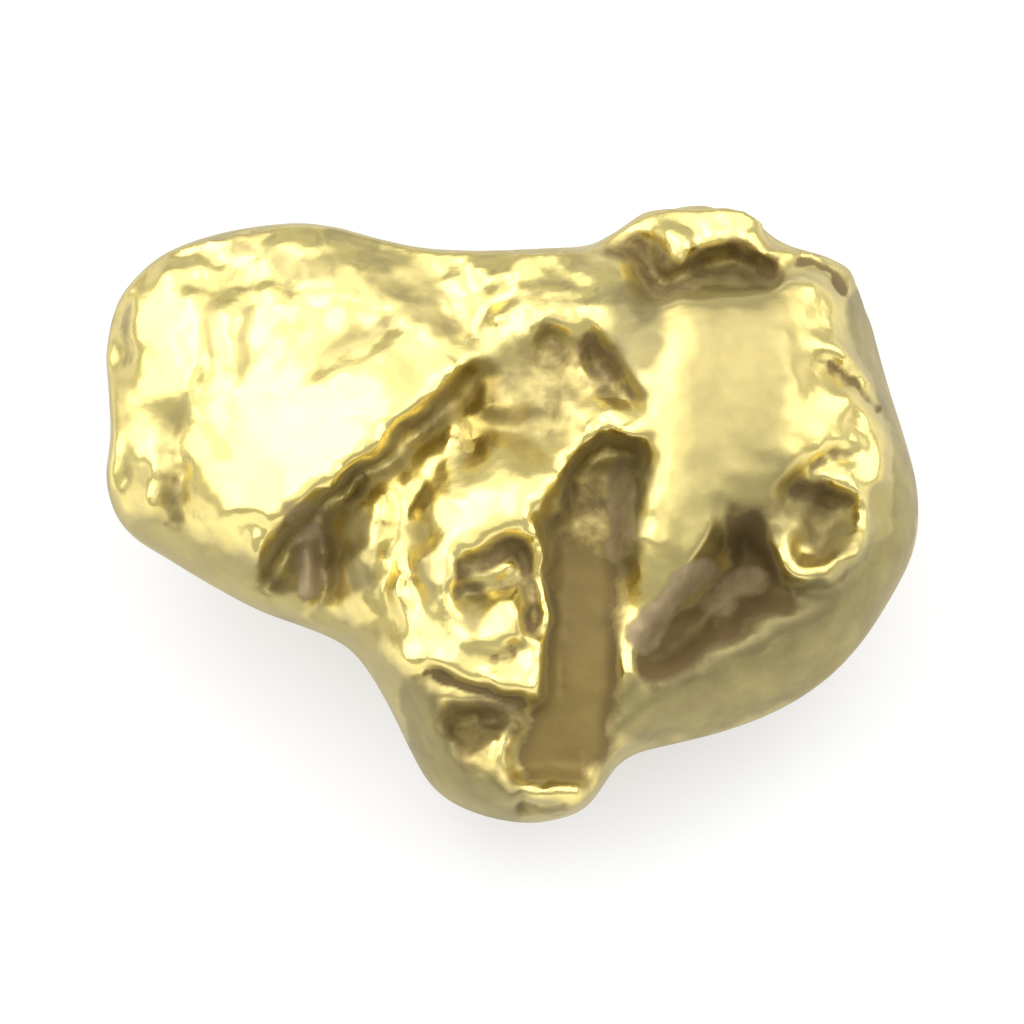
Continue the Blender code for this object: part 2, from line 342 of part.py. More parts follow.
def waves(u, v, length, seed):
    """Uneven waves from about -1 to 1, of that length in millimetres."""
    places = zip((u / length).flat, (v / length).flat)
    found = [noise.fractal(Vector((a, b, seed)), 1.0, 2.0, 3) for a, b in places]
    return np.array(found).reshape(u.shape)


def creases(u, v, length, seed):
    """1 along thin winding lines and 0 between them."""
    return np.exp(-(waves(u, v, length, seed) / 0.14) ** 2)


def roughness(u, v):
    """How much the skin is crumpled at each place."""
    amount = np.full(u.shape, 0.06)
    for a, b, reach, strength in ROUGH:
        amount = np.maximum(amount, strength * np.exp(-((u - a) ** 2 + (v - b) ** 2) / reach**2))
    return amount


def relief_map():
    """The face's height above the widest line, on a grid, with the grid's own scales."""
    us, vs = np.arange(-6.6, 6.6, GRID), np.arange(-5.1, 5.1, GRID)
    u, v = np.meshgrid(us, vs)
    aside, along = waves(u, v, 0.6, 3.1), waves(u, v, 0.6, 7.7)
    crumpled = roughness(u, v)
    height = soften(net_height(u + 0.08 * aside, v + 0.08 * along), 0.06)
    height -= DOME * (u**2 + v**2)
    height += CRUMPLE * crumpled * (dents(u + 0.15 * aside, v + 0.15 * along, 0.50) - 0.5)
    height += 0.03 * (0.4 + crumpled) * waves(u, v, 0.9, 12.0)
    height -= CREASE * crumpled * creases(u, v, 0.55, 41.0)
    return us, vs, height


def spread(points):
    """The ball's points laid over the face: (u, v) and how far each is from the outline."""
    outline = smooth_curve([p[:2] for p in OUTLINE])
    bearing = np.arctan2(*(outline - CENTRE).T[::-1])
    order = np.argsort(bearing)
    reach = np.hypot(*(outline - CENTRE).T)
    angle = np.arctan2(points[:, 1], points[:, 0])
    radial = np.hypot(points[:, 0], points[:, 1])
    far = radial * np.interp(angle, bearing[order], reach[order], period=2 * math.pi)
    u, v = CENTRE[0] + far * np.cos(angle), CENTRE[1] + far * np.sin(angle)
    edge_gap = line_distance(u, v, np.vstack([outline, outline[:1]]))
    return u, v, np.where(radial < 0.9999, edge_gap, 0)


def quarter_round(gap, width):
    """Rises from 0 at the outline to 1 at that width inside it, along a quarter of an ellipse."""
    return np.sqrt(1 - (1 - np.clip(gap / width, 0, 1)) ** 2)


def edge_width(u, v):
    """The width of the outline's round at each place, from the outline's points near it."""
    pull = [((u - a) ** 2 + (v - b) ** 2 + 0.02) ** -2 for a, b, _ in OUTLINE]
    return sum(p * width for p, (_, _, width) in zip(pull, OUTLINE)) / sum(pull)


def sculpt_face(ball):
    """Presses the ball into the nugget's outline, with the relief in front and a plain round behind.

    Returns how far each of its points lies inside the outline.
    """
    points = np.array([vert.co[:] for vert in ball.verts])
    u, v, edge_gap = spread(points)
    widest = -RIM_FALL * v
    lean = math.radians(LEAN)
    table = -(TABLE_DEPTH + v * math.sin(lean)) / math.cos(lean)
    front = widest + sample(*relief_map(), u, v) * quarter_round(edge_gap, edge_width(u, v))
    behind = widest + (table - widest) * quarter_round(edge_gap, UNDER_ROUND)
    w = np.where(points[:, 2] > 0, front, behind)
    for vert, place in zip(ball.verts, np.column_stack([u, v, w])):
        vert.co = place
    bmesh.ops.transform(ball, matrix=Matrix.Rotation(lean, 4, "X"), verts=ball.verts)
    return edge_gap


def shape_underside(ball, edge_gap):
    """Narrows the nugget towards the table, with lumps on its underside that stay inside the outline."""
    ball.normal_update()
    lean = math.radians(LEAN)
    across = Vector((0, math.cos(lean), math.sin(lean)))
    out = Vector((0, -math.sin(lean), math.cos(lean)))
    moves = []
    for vert, gap in zip(ball.verts, edge_gap):
        v = vert.co.dot(across)
        drop = (-RIM_FALL * v - vert.co.dot(out)) / (TABLE_DEPTH + 2)
        under = min(max(drop, 0), 1)
        back = min(max((v - 2.8) / 0.8, 0), 1) * max(1 - 2 * abs(vert.normal.dot(out)), 0)
        lump = noise.fractal(vert.co / 2.4 + Vector((4, 0, 0)), 1.0, 2.0, 3)
        lump += 0.8 * (noise.voronoi(vert.co / 1.5)[0][0] - 0.6)
        full = min(under * 4.5, 1)
        rise = min(LUMPS * (full * lump + (1 - full) * back * min(lump - 0.1, 0)), 0.9 * gap)
        inward = Vector((CENTRE[0] - vert.co.x, CENTRE[1] - vert.co.y, 0)) * TAPER * under**1.5
        moves.append(inward + vert.normal * rise)
    for vert, move in zip(ball.verts, moves):
        vert.co += move


def cut_flat(ball):
    """Grinds the underside off level where it touches the table."""
    lowest = min(vert.co.z for vert in ball.verts)
    parts = ball.verts[:] + ball.edges[:] + ball.faces[:]
    cut = bmesh.ops.bisect_plane(ball, geom=parts, plane_co=(0, 0, lowest + FLAT_CUT), plane_no=(0, 0, -1),
                                 clear_outer=True)
    rim = [part for part in cut["geom_cut"] if isinstance(part, bmesh.types.BMEdge)]
    bmesh.ops.triangle_fill(ball, edges=rim, use_beauty=True)
    bmesh.ops.recalc_face_normals(ball, faces=ball.faces[:])


def settle(ball):
    """Puts the origin under the middle of the nugget, at its real size in metres."""
    low = [min(vert.co[axis] for vert in ball.verts) for axis in range(3)]
    high = [max(vert.co[axis] for vert in ball.verts) for axis in range(3)]
    middle = Vector(((low[0] + high[0]) / 2, (low[1] + high[1]) / 2, low[2]))
    size = WIDTH / (high[0] - low[0]) * MM
    bmesh.ops.transform(ball, matrix=Matrix.Scale(size, 4) @ Matrix.Translation(-middle), verts=ball.verts)


def thin_out(ball):
    """Leaves the ball with only as many faces as the solid can carry."""
    mesh = bpy.data.meshes.new("sculpt")
    ball.to_mesh(mesh)
    ball.clear()
    sculpt = bpy.data.objects.new("sculpt", mesh)
    bpy.context.scene.collection.objects.link(sculpt)
    sculpt.modifiers.new("Fewer faces", "DECIMATE").ratio = TRIANGLES / len(mesh.polygons)
    ball.from_mesh(sculpt.evaluated_get(bpy.context.evaluated_depsgraph_get()).to_mesh())
    bpy.data.objects.remove(sculpt)


def make_nugget(collection):
    ball = bmesh.new()
    bmesh.ops.create_icosphere(ball, subdivisions=BALL_DIVISIONS, radius=1.0)
    shape_underside(ball, sculpt_face(ball))
    thin_out(ball)
    cut_flat(ball)
    settle(ball)
    bmesh.ops.triangulate(ball, faces=ball.faces[:])
    mesh = bpy.data.meshes.new("nugget")
    ball.to_mesh(mesh)
    ball.free()
    nugget = bpy.data.objects.new("nugget", mesh)
    collection.objects.link(nugget)
    return nugget


def gild(nugget):
    material = bpy.data.materials.new("gold")
    material.use_nodes = True
    shader = material.node_tree.nodes["Principled BSDF"]
    shader.inputs["Base Color"].default_value = GOLD
    shader.inputs["Metallic"].default_value = 1.0
    shader.inputs["Roughness"].default_value = 0.3
    nugget.data.materials.append(material)
    nugget.data.shade_smooth()


for old in list(bpy.data.objects):
    bpy.data.objects.remove(old)
objects = bpy.data.collections.new("gold nugget")
bpy.context.scene.collection.children.link(objects)
gild(make_nugget(objects))
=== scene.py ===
# %% [markdown]
# # A natural gold nugget
# This lesson models a gold nugget about 12 mm across, gilds it, lights it and puts a camera over it. The
# real thing is one lump of soft metal that grew in a crack in rock and was then beaten round in a river
# bed, so it has sharp folds and cliffs that were never worn, and smooth flanks that were. A model frame
# holds its plain solid already, and the fine nugget made here takes that solid's place.

import math

import bmesh
import bpy
import numpy as np
from mathutils import Matrix, Vector, geometry, noise


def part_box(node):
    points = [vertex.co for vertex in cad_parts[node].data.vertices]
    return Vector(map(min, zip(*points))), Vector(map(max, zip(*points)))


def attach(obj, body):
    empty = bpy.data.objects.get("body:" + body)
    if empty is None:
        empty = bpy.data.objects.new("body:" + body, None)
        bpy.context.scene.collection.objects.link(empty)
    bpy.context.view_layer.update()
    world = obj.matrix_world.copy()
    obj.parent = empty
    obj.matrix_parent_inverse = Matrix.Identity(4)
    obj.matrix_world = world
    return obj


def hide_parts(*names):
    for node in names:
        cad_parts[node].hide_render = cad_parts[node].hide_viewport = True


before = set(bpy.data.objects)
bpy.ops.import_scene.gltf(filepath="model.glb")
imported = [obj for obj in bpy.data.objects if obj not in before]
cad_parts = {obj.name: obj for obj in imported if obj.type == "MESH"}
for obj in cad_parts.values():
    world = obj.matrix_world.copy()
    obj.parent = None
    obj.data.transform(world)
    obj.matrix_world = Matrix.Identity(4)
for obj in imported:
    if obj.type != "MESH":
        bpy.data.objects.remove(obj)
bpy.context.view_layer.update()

# %% [markdown]
# ## The plan: a relief on a leaned face
# A nugget could be shaped freely with Sculpt Mode's brushes, but nobody can read or mend brush strokes
# later. Here it is written down instead, in a sculptor's order: the outline first, then the forms cut into
# it. The nugget's best side is called its face. On it u runs right, v runs up and w comes out towards the
# viewer, all in millimetres. Everything is measured on the face, which is leaned back as soon as it is
# pressed.

# %% How the face lies, in millimetres and degrees
MM = 0.001
LEAN = 30.0            # the face is leaned this far towards the viewer, from lying flat
RIM_FALL = 0.30        # how much deeper the widest line lies for each millimetre up the face
TABLE_DEPTH = 2.35     # the table lies this far under the face's own origin
CENTRE = (0.20, 0.30)  # the outline is star-shaped round this point

lean = math.radians(LEAN)
right = Vector((1, 0, 0))
across = Vector((0, math.cos(lean), math.sin(lean)))
out = Vector((0, -math.sin(lean), math.cos(lean)))
print("w comes out of the face along", [round(share, 2) for share in out])

# %% [markdown]
# ## The outline
# The edge that the viewer sees says most about a nugget's shape. A curve object could hold it, but plain
# points are easier to read, and a smooth line is laid through them later. Each point also says how wide the
# round is that leads from the edge up to the relief: narrow where the metal is folded sharply over, wide
# where the river has worn it.

# %% The outline, clockwise from the left end: u, v and the width of the round
OUTLINE = [
    (-6.03, 2.40, 0.08), (-5.90, 3.05, 0.08), (-5.58, 3.52, 0.08), (-5.10, 3.90, 0.08),
    (-4.30, 4.18, 0.08), (-3.30, 4.32, 0.08), (-2.60, 4.26, 0.08), (-1.90, 4.08, 0.08),
    (-1.20, 3.94, 0.08), (-0.40, 3.92, 0.08), (0.50, 3.96, 0.08), (1.15, 4.00, 0.08),
    (1.55, 4.22, 0.08), (2.00, 4.50, 0.08), (2.60, 4.58, 0.08), (3.25, 4.61, 0.08),
    (3.65, 4.48, 0.08), (4.05, 4.16, 0.30), (4.60, 3.90, 0.08), (5.00, 3.66, 0.08),
    (5.22, 3.28, 0.45), (5.40, 2.60, 0.60), (5.62, 1.80, 0.55), (5.84, 1.10, 0.50),
    (6.00, 0.50, 0.65), (6.03, -0.10, 0.80), (5.92, -0.65, 0.80), (5.65, -1.20, 0.90),
    (5.20, -1.88, 1.10), (4.60, -2.48, 1.20), (3.90, -2.92, 1.30), (3.10, -3.22, 1.20),
    (2.30, -3.42, 1.00), (1.85, -3.54, 0.60), (1.55, -3.74, 0.40), (1.30, -4.08, 0.20),
    (1.05, -4.36, 0.20), (0.65, -4.51, 0.22), (0.20, -4.56, 0.35), (-0.35, -4.47, 0.70),
    (-0.85, -4.28, 0.90), (-1.22, -3.98, 0.80), (-1.50, -3.50, 0.70), (-1.80, -2.90, 0.60),
    (-2.12, -2.36, 0.60), (-2.45, -1.98, 0.60), (-2.95, -1.73, 0.60), (-3.70, -1.46, 0.60),
    (-4.40, -1.10, 0.90), (-5.10, -0.68, 0.80), (-5.60, -0.36, 0.60), (-5.88, 0.02, 0.20),
    (-6.00, 0.55, 0.10), (-5.95, 1.15, 0.10), (-5.99, 1.80, 0.10),
]
print("the outline is given by", len(OUTLINE), "points")

# %% [markdown]
# ## Break lines
# Crumpled metal isn't a smooth hill: it is facets that meet along ridges and folds. Noise makes such a skin
# quickly, but never puts a fold where it belongs. Land surveyors draw such ground with break lines, lines
# along which the slope changes, and join them into a net of triangles. Each line below is a ridge, a fold
# or the foot of a cliff, as points u, v and a height above the nugget's widest line. A cliff is simply two
# lines close together at different heights. Moving a point moves that one facet, so the sculpt stays easy
# to change.
#
# The left lobe is a beaten plateau that ends in a straight cliff.

# %% Break lines of the left lobe
LEFT_LOBE = {
    "brow": [(-5.98, 0.0, 1.5), (-6.08, 0.55, 1.65), (-6.02, 1.15, 1.7), (-6.07, 1.8, 1.75),
             (-6.10, 2.42, 1.7), (-6.02, 3.12, 1.7), (-5.63, 3.6, 1.95), (-5.13, 3.96, 1.98),
             (-4.3, 4.24, 2.0), (-3.3, 4.38, 2.02), (-2.58, 4.32, 2.0), (-1.88, 4.14, 1.98),
             (-1.2, 3.99, 2.05), (-0.4, 3.97, 2.1), (0.5, 4.01, 2.1), (1.16, 4.05, 1.9)],
    "left shoulder": [(-5.62, 3.2, 2.0), (-5.66, 2.5, 2.15), (-5.62, 1.9, 2.15), (-5.3, 1.45, 2.2)],
    "dark dimples on it": [(-5.75, 2.95, 1.4), (-5.78, 2.35, 1.5)],
    "left facet's far edge": [(-5.05, 3.6, 2.2), (-4.62, 3.1, 2.5), (-4.58, 2.4, 2.62),
                              (-4.72, 1.75, 2.6)],
    "groove beside it": [(-4.42, 3.05, 2.4), (-4.38, 2.4, 2.5), (-4.66, 1.55, 2.45), (-4.9, 1.15, 2.15)],
    "small upright ridge": [(-4.15, 3.0, 2.62), (-4.12, 2.3, 2.68)],
    "groove right of it": [(-3.9, 2.85, 2.55), (-3.95, 2.15, 2.58)],
    "plateau's high edge": [(-3.75, -0.75, 2.4), (-3.5, -0.35, 2.88), (-3.05, 0.15, 3.06),
                            (-2.7, 0.35, 3.1), (-2.4, 0.68, 3.12), (-2.05, 0.85, 3.15), (-1.75, 1.2, 3.08),
                            (-1.35, 1.5, 3.0), (-1.0, 1.8, 2.9), (-0.8, 2.05, 2.75), (-0.5, 2.2, 2.6),
                            (-0.1, 2.5, 2.6)],
    "plateau's low edge": [(-3.6, -0.05, 2.88), (-4.1, -0.05, 2.7), (-4.4, 0.5, 2.5), (-4.6, 1.15, 2.4),
                           (-4.05, 1.85, 2.5), (-3.3, 2.0, 2.66), (-2.7, 1.95, 2.8), (-2.1, 2.3, 2.8),
                           (-1.65, 2.35, 2.82), (-1.45, 1.95, 2.92)],
    "dark streak": [(-2.72, 2.18, 2.6), (-2.4, 2.35, 2.62), (-2.0, 2.68, 2.58)],
    "band above it": [(-3.6, 2.45, 2.65), (-3.0, 2.55, 2.65), (-2.35, 2.8, 2.7), (-1.6, 2.95, 2.6)],
    "pale swirl": [(-3.55, 3.35, 2.5), (-3.1, 3.1, 2.62), (-2.5, 3.2, 2.66), (-2.1, 3.45, 2.5)],
    "dip above the swirl": [(-4.0, 3.75, 2.1), (-3.9, 3.5, 2.25), (-3.4, 3.65, 2.3)],
    "upper bumps": [(-3.5, 3.95, 2.35), (-2.9, 3.75, 2.5), (-2.45, 3.6, 2.5), (-1.9, 3.6, 2.3)],
    "back of the lobe": [(-5.2, 3.72, 1.85), (-4.4, 3.98, 2.05), (-3.3, 4.14, 2.15), (-2.6, 4.08, 2.15),
                         (-1.9, 3.92, 2.0), (-1.25, 3.78, 2.1)],
    "notch": [(-3.95, -0.15, 2.35), (-3.65, -0.2, 2.5)],
    "white bump": [(-3.9, -0.75, 2.1), (-3.8, -0.4, 2.65)],
    "lower bumps": [(-5.8, 0.95, 1.85), (-5.65, 0.3, 1.75)],
    "lower bump": [(-5.5, 1.05, 2.0), (-5.28, 0.85, 2.3), (-5.22, 0.4, 2.3), (-5.4, 0.05, 2.0)],
    "dark spot": [(-4.98, 0.95, 2.12), (-4.9, 0.65, 2.1), (-4.98, 0.38, 2.0), (-4.88, 0.12, 1.9),
                  (-4.98, -0.08, 1.8)],
    "small bumps": [(-4.65, 0.7, 2.35), (-4.75, 0.3, 2.2)],
    "lower shoulder": [(-5.55, -0.1, 1.6), (-4.9, -0.35, 1.8), (-4.2, -0.5, 1.95), (-3.98, -0.95, 1.8),
                       (-3.65, -1.2, 1.55)],
}
print("left lobe:", len(LEFT_LOBE), "lines")

# %% [markdown]
# The middle lobe was never worn. Below the cliff runs a cleft, and beside it stand folds, bright facets,
# two lips with hollows under them, a shelf over a recess, and the tip.

# %% Break lines of the middle lobe
MIDDLE_LOBE = {
    "cliff's foot": [(-3.65, -1.0, 1.1), (-3.35, -0.55, 1.15), (-2.95, 0.0, 1.4), (-2.6, 0.22, 1.6),
                     (-2.3, 0.54, 1.75), (-1.95, 0.72, 1.85), (-1.62, 1.05, 1.95), (-1.25, 1.35, 2.0),
                     (-0.92, 1.65, 2.1), (-0.68, 1.9, 2.2)],
    "pale stripe": [(-3.0, -0.4, 1.75), (-2.98, -1.15, 1.85)],
    "dark stripe": [(-2.8, -0.45, 1.2), (-2.8, -1.2, 1.2)],
    "cleft's near edge": [(-2.55, -1.55, 1.5), (-2.55, -0.9, 1.8), (-2.5, -0.4, 2.05), (-2.42, 0.1, 2.25),
                          (-2.05, 0.5, 2.3), (-1.65, 0.78, 2.35), (-1.05, 1.05, 2.4), (-0.95, 1.4, 2.35)],
    "first fold": [(-2.12, 0.32, 2.5), (-1.9, -0.1, 2.65), (-1.92, -0.45, 2.6)],
    "first fold's end": [(-2.3, -0.6, 2.35), (-2.08, -0.85, 2.45), (-2.15, -1.15, 2.3)],
    "groove beside the fold": [(-1.7, 0.4, 2.35), (-1.68, -0.1, 2.3), (-1.72, -0.5, 2.25),
                               (-1.92, -1.0, 2.15), (-1.9, -1.6, 2.0)],
    "second fold": [(-1.68, -0.75, 2.6), (-1.66, -1.2, 2.6), (-1.5, -1.65, 2.5)],
    "groove left of the facet": [(-1.52, 0.15, 2.4), (-1.52, -0.5, 2.4), (-1.48, -1.0, 2.35),
                                 (-1.3, -1.4, 2.45)],
    "bright facet": [(-1.32, 0.12, 2.74), (-0.98, 0.2, 2.92), (-0.84, -0.3, 3.02), (-0.84, -1.15, 3.05),
                     (-1.15, -1.2, 2.86), (-1.38, -0.65, 2.76)],
    "lower facet": [(-1.2, -1.5, 2.55), (-0.8, -1.38, 2.85), (-0.58, -1.7, 2.9), (-0.75, -1.98, 2.8),
                    (-1.25, -1.98, 2.5)],
    "crown": [(-0.8, 0.5, 2.8), (-0.4, 0.35, 3.05), (0.1, 0.45, 3.05), (0.62, 0.5, 2.95)],
    "upper lip": [(-0.72, -0.6, 3.0), (-0.45, -0.38, 3.08), (-0.08, -0.28, 3.05), (0.12, -0.35, 3.0)],
    "hollow under the lip": [(-0.74, -0.84, 2.5), (-0.4, -0.62, 2.45), (0.02, -0.5, 2.38),
                             (0.26, -0.8, 2.3), (0.32, -1.3, 2.25), (0.3, -1.75, 2.3)],
    "tongue": [(-0.76, -1.02, 2.7), (-0.4, -0.92, 2.82), (0.04, -0.78, 2.86)],
    "slot under the tongue": [(-0.8, -1.2, 2.4), (-0.4, -1.12, 2.3), (-0.05, -1.02, 2.3)],
    "nodule": [(-0.55, -1.5, 2.7), (-0.28, -1.28, 2.86), (0.05, -1.22, 2.94), (0.14, -1.5, 3.02),
               (0.12, -1.82, 3.0)],
    "nodule's foot": [(-0.5, -1.85, 2.78), (-0.2, -1.8, 2.92), (0.02, -2.0, 2.6)],
    "right rim": [(-0.12, 0.14, 3.1), (0.2, 0.0, 3.2), (0.4, -0.35, 3.12), (0.45, -0.8, 2.95),
                  (0.46, -1.4, 2.82), (0.48, -1.9, 2.78), (0.4, -2.3, 2.8)],
    "groove over the shelf": [(-0.72, -2.06, 2.62), (-0.4, -2.1, 2.66), (0.1, -2.24, 2.74)],
    "shelf": [(-1.48, -2.14, 2.5), (-1.2, -2.17, 2.66), (-0.9, -2.31, 2.76), (-0.55, -2.41, 2.84),
              (-0.2, -2.5, 2.93), (0.15, -2.6, 2.98), (0.45, -2.7, 2.8)],
    "under the shelf": [(-1.18, -2.3, 2.15), (-0.8, -2.42, 2.05), (-0.35, -2.54, 2.05), (0.1, -2.68, 1.95),
                        (0.38, -2.84, 1.8)],
    "stripe": [(-1.0, -2.58, 2.28), (-0.6, -2.66, 2.36), (-0.2, -2.76, 2.32), (0.1, -2.86, 2.1)],
    "recess": [(-0.95, -2.86, 1.8), (-0.6, -2.93, 1.62), (-0.2, -2.95, 1.65)],
    "recess's end": [(-0.78, -3.28, 1.65), (-0.5, -3.3, 1.72)],
    "recess's left edge": [(-1.3, -2.36, 2.25), (-1.12, -2.8, 2.2), (-1.0, -3.2, 2.1),
                           (-0.85, -3.6, 1.95)],
    "recess's right edge": [(0.25, -3.0, 1.95), (0.02, -3.15, 2.05), (-0.25, -3.42, 2.05),
                            (-0.15, -3.8, 1.95)],
    "tip's groove": [(-0.05, -3.76, 1.55), (0.3, -3.74, 1.5), (0.7, -3.76, 1.5), (1.1, -3.82, 1.5)],
    "tip's ridge": [(0.0, -3.92, 1.86), (0.35, -3.9, 2.0), (0.7, -3.93, 2.06), (1.0, -4.01, 2.0),
                    (1.17, -4.25, 1.78), (0.92, -4.23, 2.04), (0.6, -4.14, 2.12), (0.08, -4.1, 2.0)],
    "under the tip's ridge": [(0.12, -4.26, 1.4), (0.45, -4.3, 1.35), (0.82, -4.36, 1.35)],
}
print("middle lobe:", len(MIDDLE_LOBE), "lines")

# %% [markdown]
# Something flat, perhaps a crystal, lay between the lobes while the gold grew. It left a channel with a
# level floor, and a hole at the channel's upper end.

# %% Break lines of the channel
CHANNEL = {
    "left foot": [(0.58, -0.2, 1.95), (0.62, -1.0, 1.9), (0.6, -2.0, 1.85), (0.56, -2.7, 1.8),
                  (0.12, -3.3, 1.7), (0.1, -3.68, 1.6)],
    "right foot": [(1.35, -0.9, 1.95), (1.4, -2.0, 1.85), (1.4, -2.8, 1.75), (1.2, -3.5, 1.6)],
    "right edge": [(1.5, -1.3, 2.05), (1.6, -2.0, 2.2), (1.7, -2.35, 2.25), (1.55, -2.6, 2.0),
                   (1.52, -3.2, 1.8), (1.5, -3.6, 1.5)],
    "hole's edge": [(0.68, 0.1, 2.75), (0.75, 0.55, 2.9), (0.95, 0.98, 2.92), (1.25, 1.08, 2.9),
                    (1.35, 1.23, 2.95), (1.65, 1.15, 3.0), (1.95, 1.06, 3.0)],
    "hole's back": [(0.85, 0.1, 1.9), (0.9, 0.5, 1.8), (1.05, 0.85, 1.75), (1.4, 1.02, 1.8),
                    (1.85, 0.9, 1.9)],
    "hole's floor": [(1.15, 0.3, 1.85), (1.4, 0.6, 1.9), (1.6, 0.8, 1.9)],
    "hole's right side": [(1.75, 0.55, 2.3), (1.62, 0.2, 2.05)],
    "small bump": [(0.82, -0.12, 2.05), (0.9, -0.28, 2.0)],
    "floor ripple": [(0.9, -0.75, 1.85), (1.25, -0.7, 1.9)],
    "patch": [(1.5, 0.02, 1.95), (1.5, -0.4, 2.05), (1.7, -0.85, 2.15)],
    "barrel's sharp edge": [(1.96, 0.98, 3.0), (1.93, 0.5, 2.98), (1.86, 0.0, 2.92), (1.74, -0.5, 2.75),
                            (1.9, -0.95, 2.5)],
    "bright strip": [(2.22, 1.0, 3.14), (2.2, 0.5, 3.12), (2.16, 0.0, 3.06), (2.16, -0.5, 2.94),
                     (2.14, -0.95, 2.6)],
    "triangle": [(1.62, 0.0, 2.35), (1.6, -0.3, 2.45)],
}
print("channel:", len(CHANNEL), "lines")

# %% [markdown]
# The right lobe is a smooth barrel with facets and two scratches beside it, a pit with a rim like a ring,
# and a long deep hollow.

# %% Break lines of the right lobe
RIGHT_LOBE = {
    "barrel's left": [(2.4, 3.18, 2.98), (2.34, 2.6, 3.16), (2.36, 1.8, 3.18), (2.42, 1.0, 3.15),
                      (2.42, 0.2, 3.06), (2.38, -0.6, 2.8)],
    "barrel's crest": [(2.95, 3.15, 3.1), (3.0, 2.7, 3.26), (3.0, 2.0, 3.26), (3.05, 1.2, 3.2),
                       (3.05, 0.6, 3.12), (3.0, 0.1, 3.0), (2.8, -0.4, 2.85), (2.55, -0.9, 2.62),
                       (2.2, -1.3, 2.45), (1.9, -1.7, 2.2)],
    "barrel's right": [(3.75, 3.15, 3.05), (3.95, 2.6, 3.22), (4.05, 2.0, 3.24), (4.12, 1.4, 3.2),
                       (4.12, 0.85, 3.1), (3.95, 0.55, 2.95), (3.6, 0.1, 2.8), (3.25, -0.12, 2.65),
                       (2.95, -0.45, 2.4)],
    "upper facet": [(4.0, 3.42, 2.9), (4.5, 3.42, 2.62), (4.78, 3.1, 2.5), (4.75, 2.65, 2.62)],
    "ridge over the scratch": [(4.2, 2.5, 3.05), (4.75, 2.42, 2.85), (5.08, 2.17, 2.65), (5.4, 1.76, 2.4)],
    "scratch": [(4.62, 2.14, 2.55), (5.03, 1.9, 2.15), (5.38, 1.52, 1.95)],
    "ridge under the scratch": [(4.55, 1.95, 2.85), (5.0, 1.7, 2.62), (5.33, 1.35, 2.42),
                                (5.52, 1.1, 2.2)],
    "second scratch": [(5.05, 1.42, 2.4), (5.35, 1.0, 2.25)],
    "facet's foot": [(4.25, 0.85, 2.98), (4.7, 1.04, 2.85), (5.1, 1.08, 2.55)],
    "groove over the pit": [(4.3, 0.64, 2.55), (4.65, 0.84, 2.45), (5.0, 0.9, 2.35), (5.2, 0.75, 2.35)],
    "right bright strip": [(5.42, 0.88, 2.3), (5.35, 0.55, 2.4), (5.24, 0.28, 2.35)],
    "right shoulder": [(4.95, 3.25, 2.0), (4.92, 2.8, 2.2), (5.15, 2.4, 2.1), (5.52, 1.75, 1.95),
                       (5.65, 1.2, 1.85), (5.6, 0.6, 1.9), (5.5, 0.2, 1.8)],
    "pit's upper rim": [(4.45, 0.58, 2.8), (4.8, 0.5, 2.78), (5.08, 0.26, 2.55)],
    "pit's dark corners": [(4.2, 0.42, 2.2), (4.35, 0.25, 2.35)],
    "pit's floor": [(4.65, 0.3, 2.1), (4.86, 0.12, 2.0), (4.74, -0.25, 2.0), (4.52, -0.5, 2.0),
                    (4.25, -0.62, 2.1)],
    "pit's bump": [(4.12, -0.1, 2.5), (4.18, -0.32, 2.45)],
    "pit's middle": [(4.4, -0.05, 2.25), (4.45, -0.35, 2.2)],
    "curl": [(3.9, -0.52, 2.6), (3.95, -0.82, 2.62), (4.2, -0.99, 2.66), (4.56, -1.0, 2.64),
             (4.84, -0.8, 2.6), (5.12, -0.57, 2.5), (5.22, -0.2, 2.45), (5.2, 0.05, 2.4)],
    "curl's inner edge": [(4.06, -0.56, 2.6), (4.1, -0.76, 2.62), (4.28, -0.86, 2.66), (4.5, -0.86, 2.66),
                          (4.72, -0.68, 2.62), (4.98, -0.46, 2.52)],
    "under the curl": [(3.85, -1.0, 1.75), (4.15, -1.16, 1.85), (4.65, -1.16, 1.85), (5.02, -0.85, 1.85),
                       (5.34, -0.35, 1.75), (5.36, 0.12, 1.85)],
    "hollow's upper edge": [(3.35, -0.22, 2.3), (3.08, -0.42, 2.0), (2.85, -0.8, 1.85), (2.68, -1.2, 1.8),
                            (2.3, -1.55, 1.8), (1.88, -1.98, 1.8)],
    "hollow's floor": [(1.98, -2.18, 1.55), (2.5, -1.9, 1.4), (2.95, -1.5, 1.35), (3.2, -1.0, 1.4),
                       (3.45, -0.4, 1.6), (3.72, -0.62, 1.6)],
    "hollow's far floor": [(3.2, -1.52, 1.45), (3.62, -1.22, 1.5)],
    "hollow's lower edge": [(1.9, -2.48, 2.05), (2.38, -2.38, 2.1), (2.86, -2.13, 2.12),
                            (3.38, -1.82, 2.12), (3.9, -1.48, 2.1), (4.3, -1.42, 2.0), (4.8, -1.3, 1.92),
                            (5.3, -0.75, 1.85)],
    "bright speck": [(1.72, -2.12, 2.35), (1.78, -2.34, 2.3)],
    "low band": [(1.9, -2.9, 1.9), (2.8, -2.7, 1.95), (3.8, -2.3, 1.95), (4.7, -1.8, 1.85),
                 (5.3, -1.3, 1.7)],
}
print("right lobe:", len(RIGHT_LOBE), "lines")

# %% [markdown]
# A knob stands over the barrel, with a dark cleft under it.

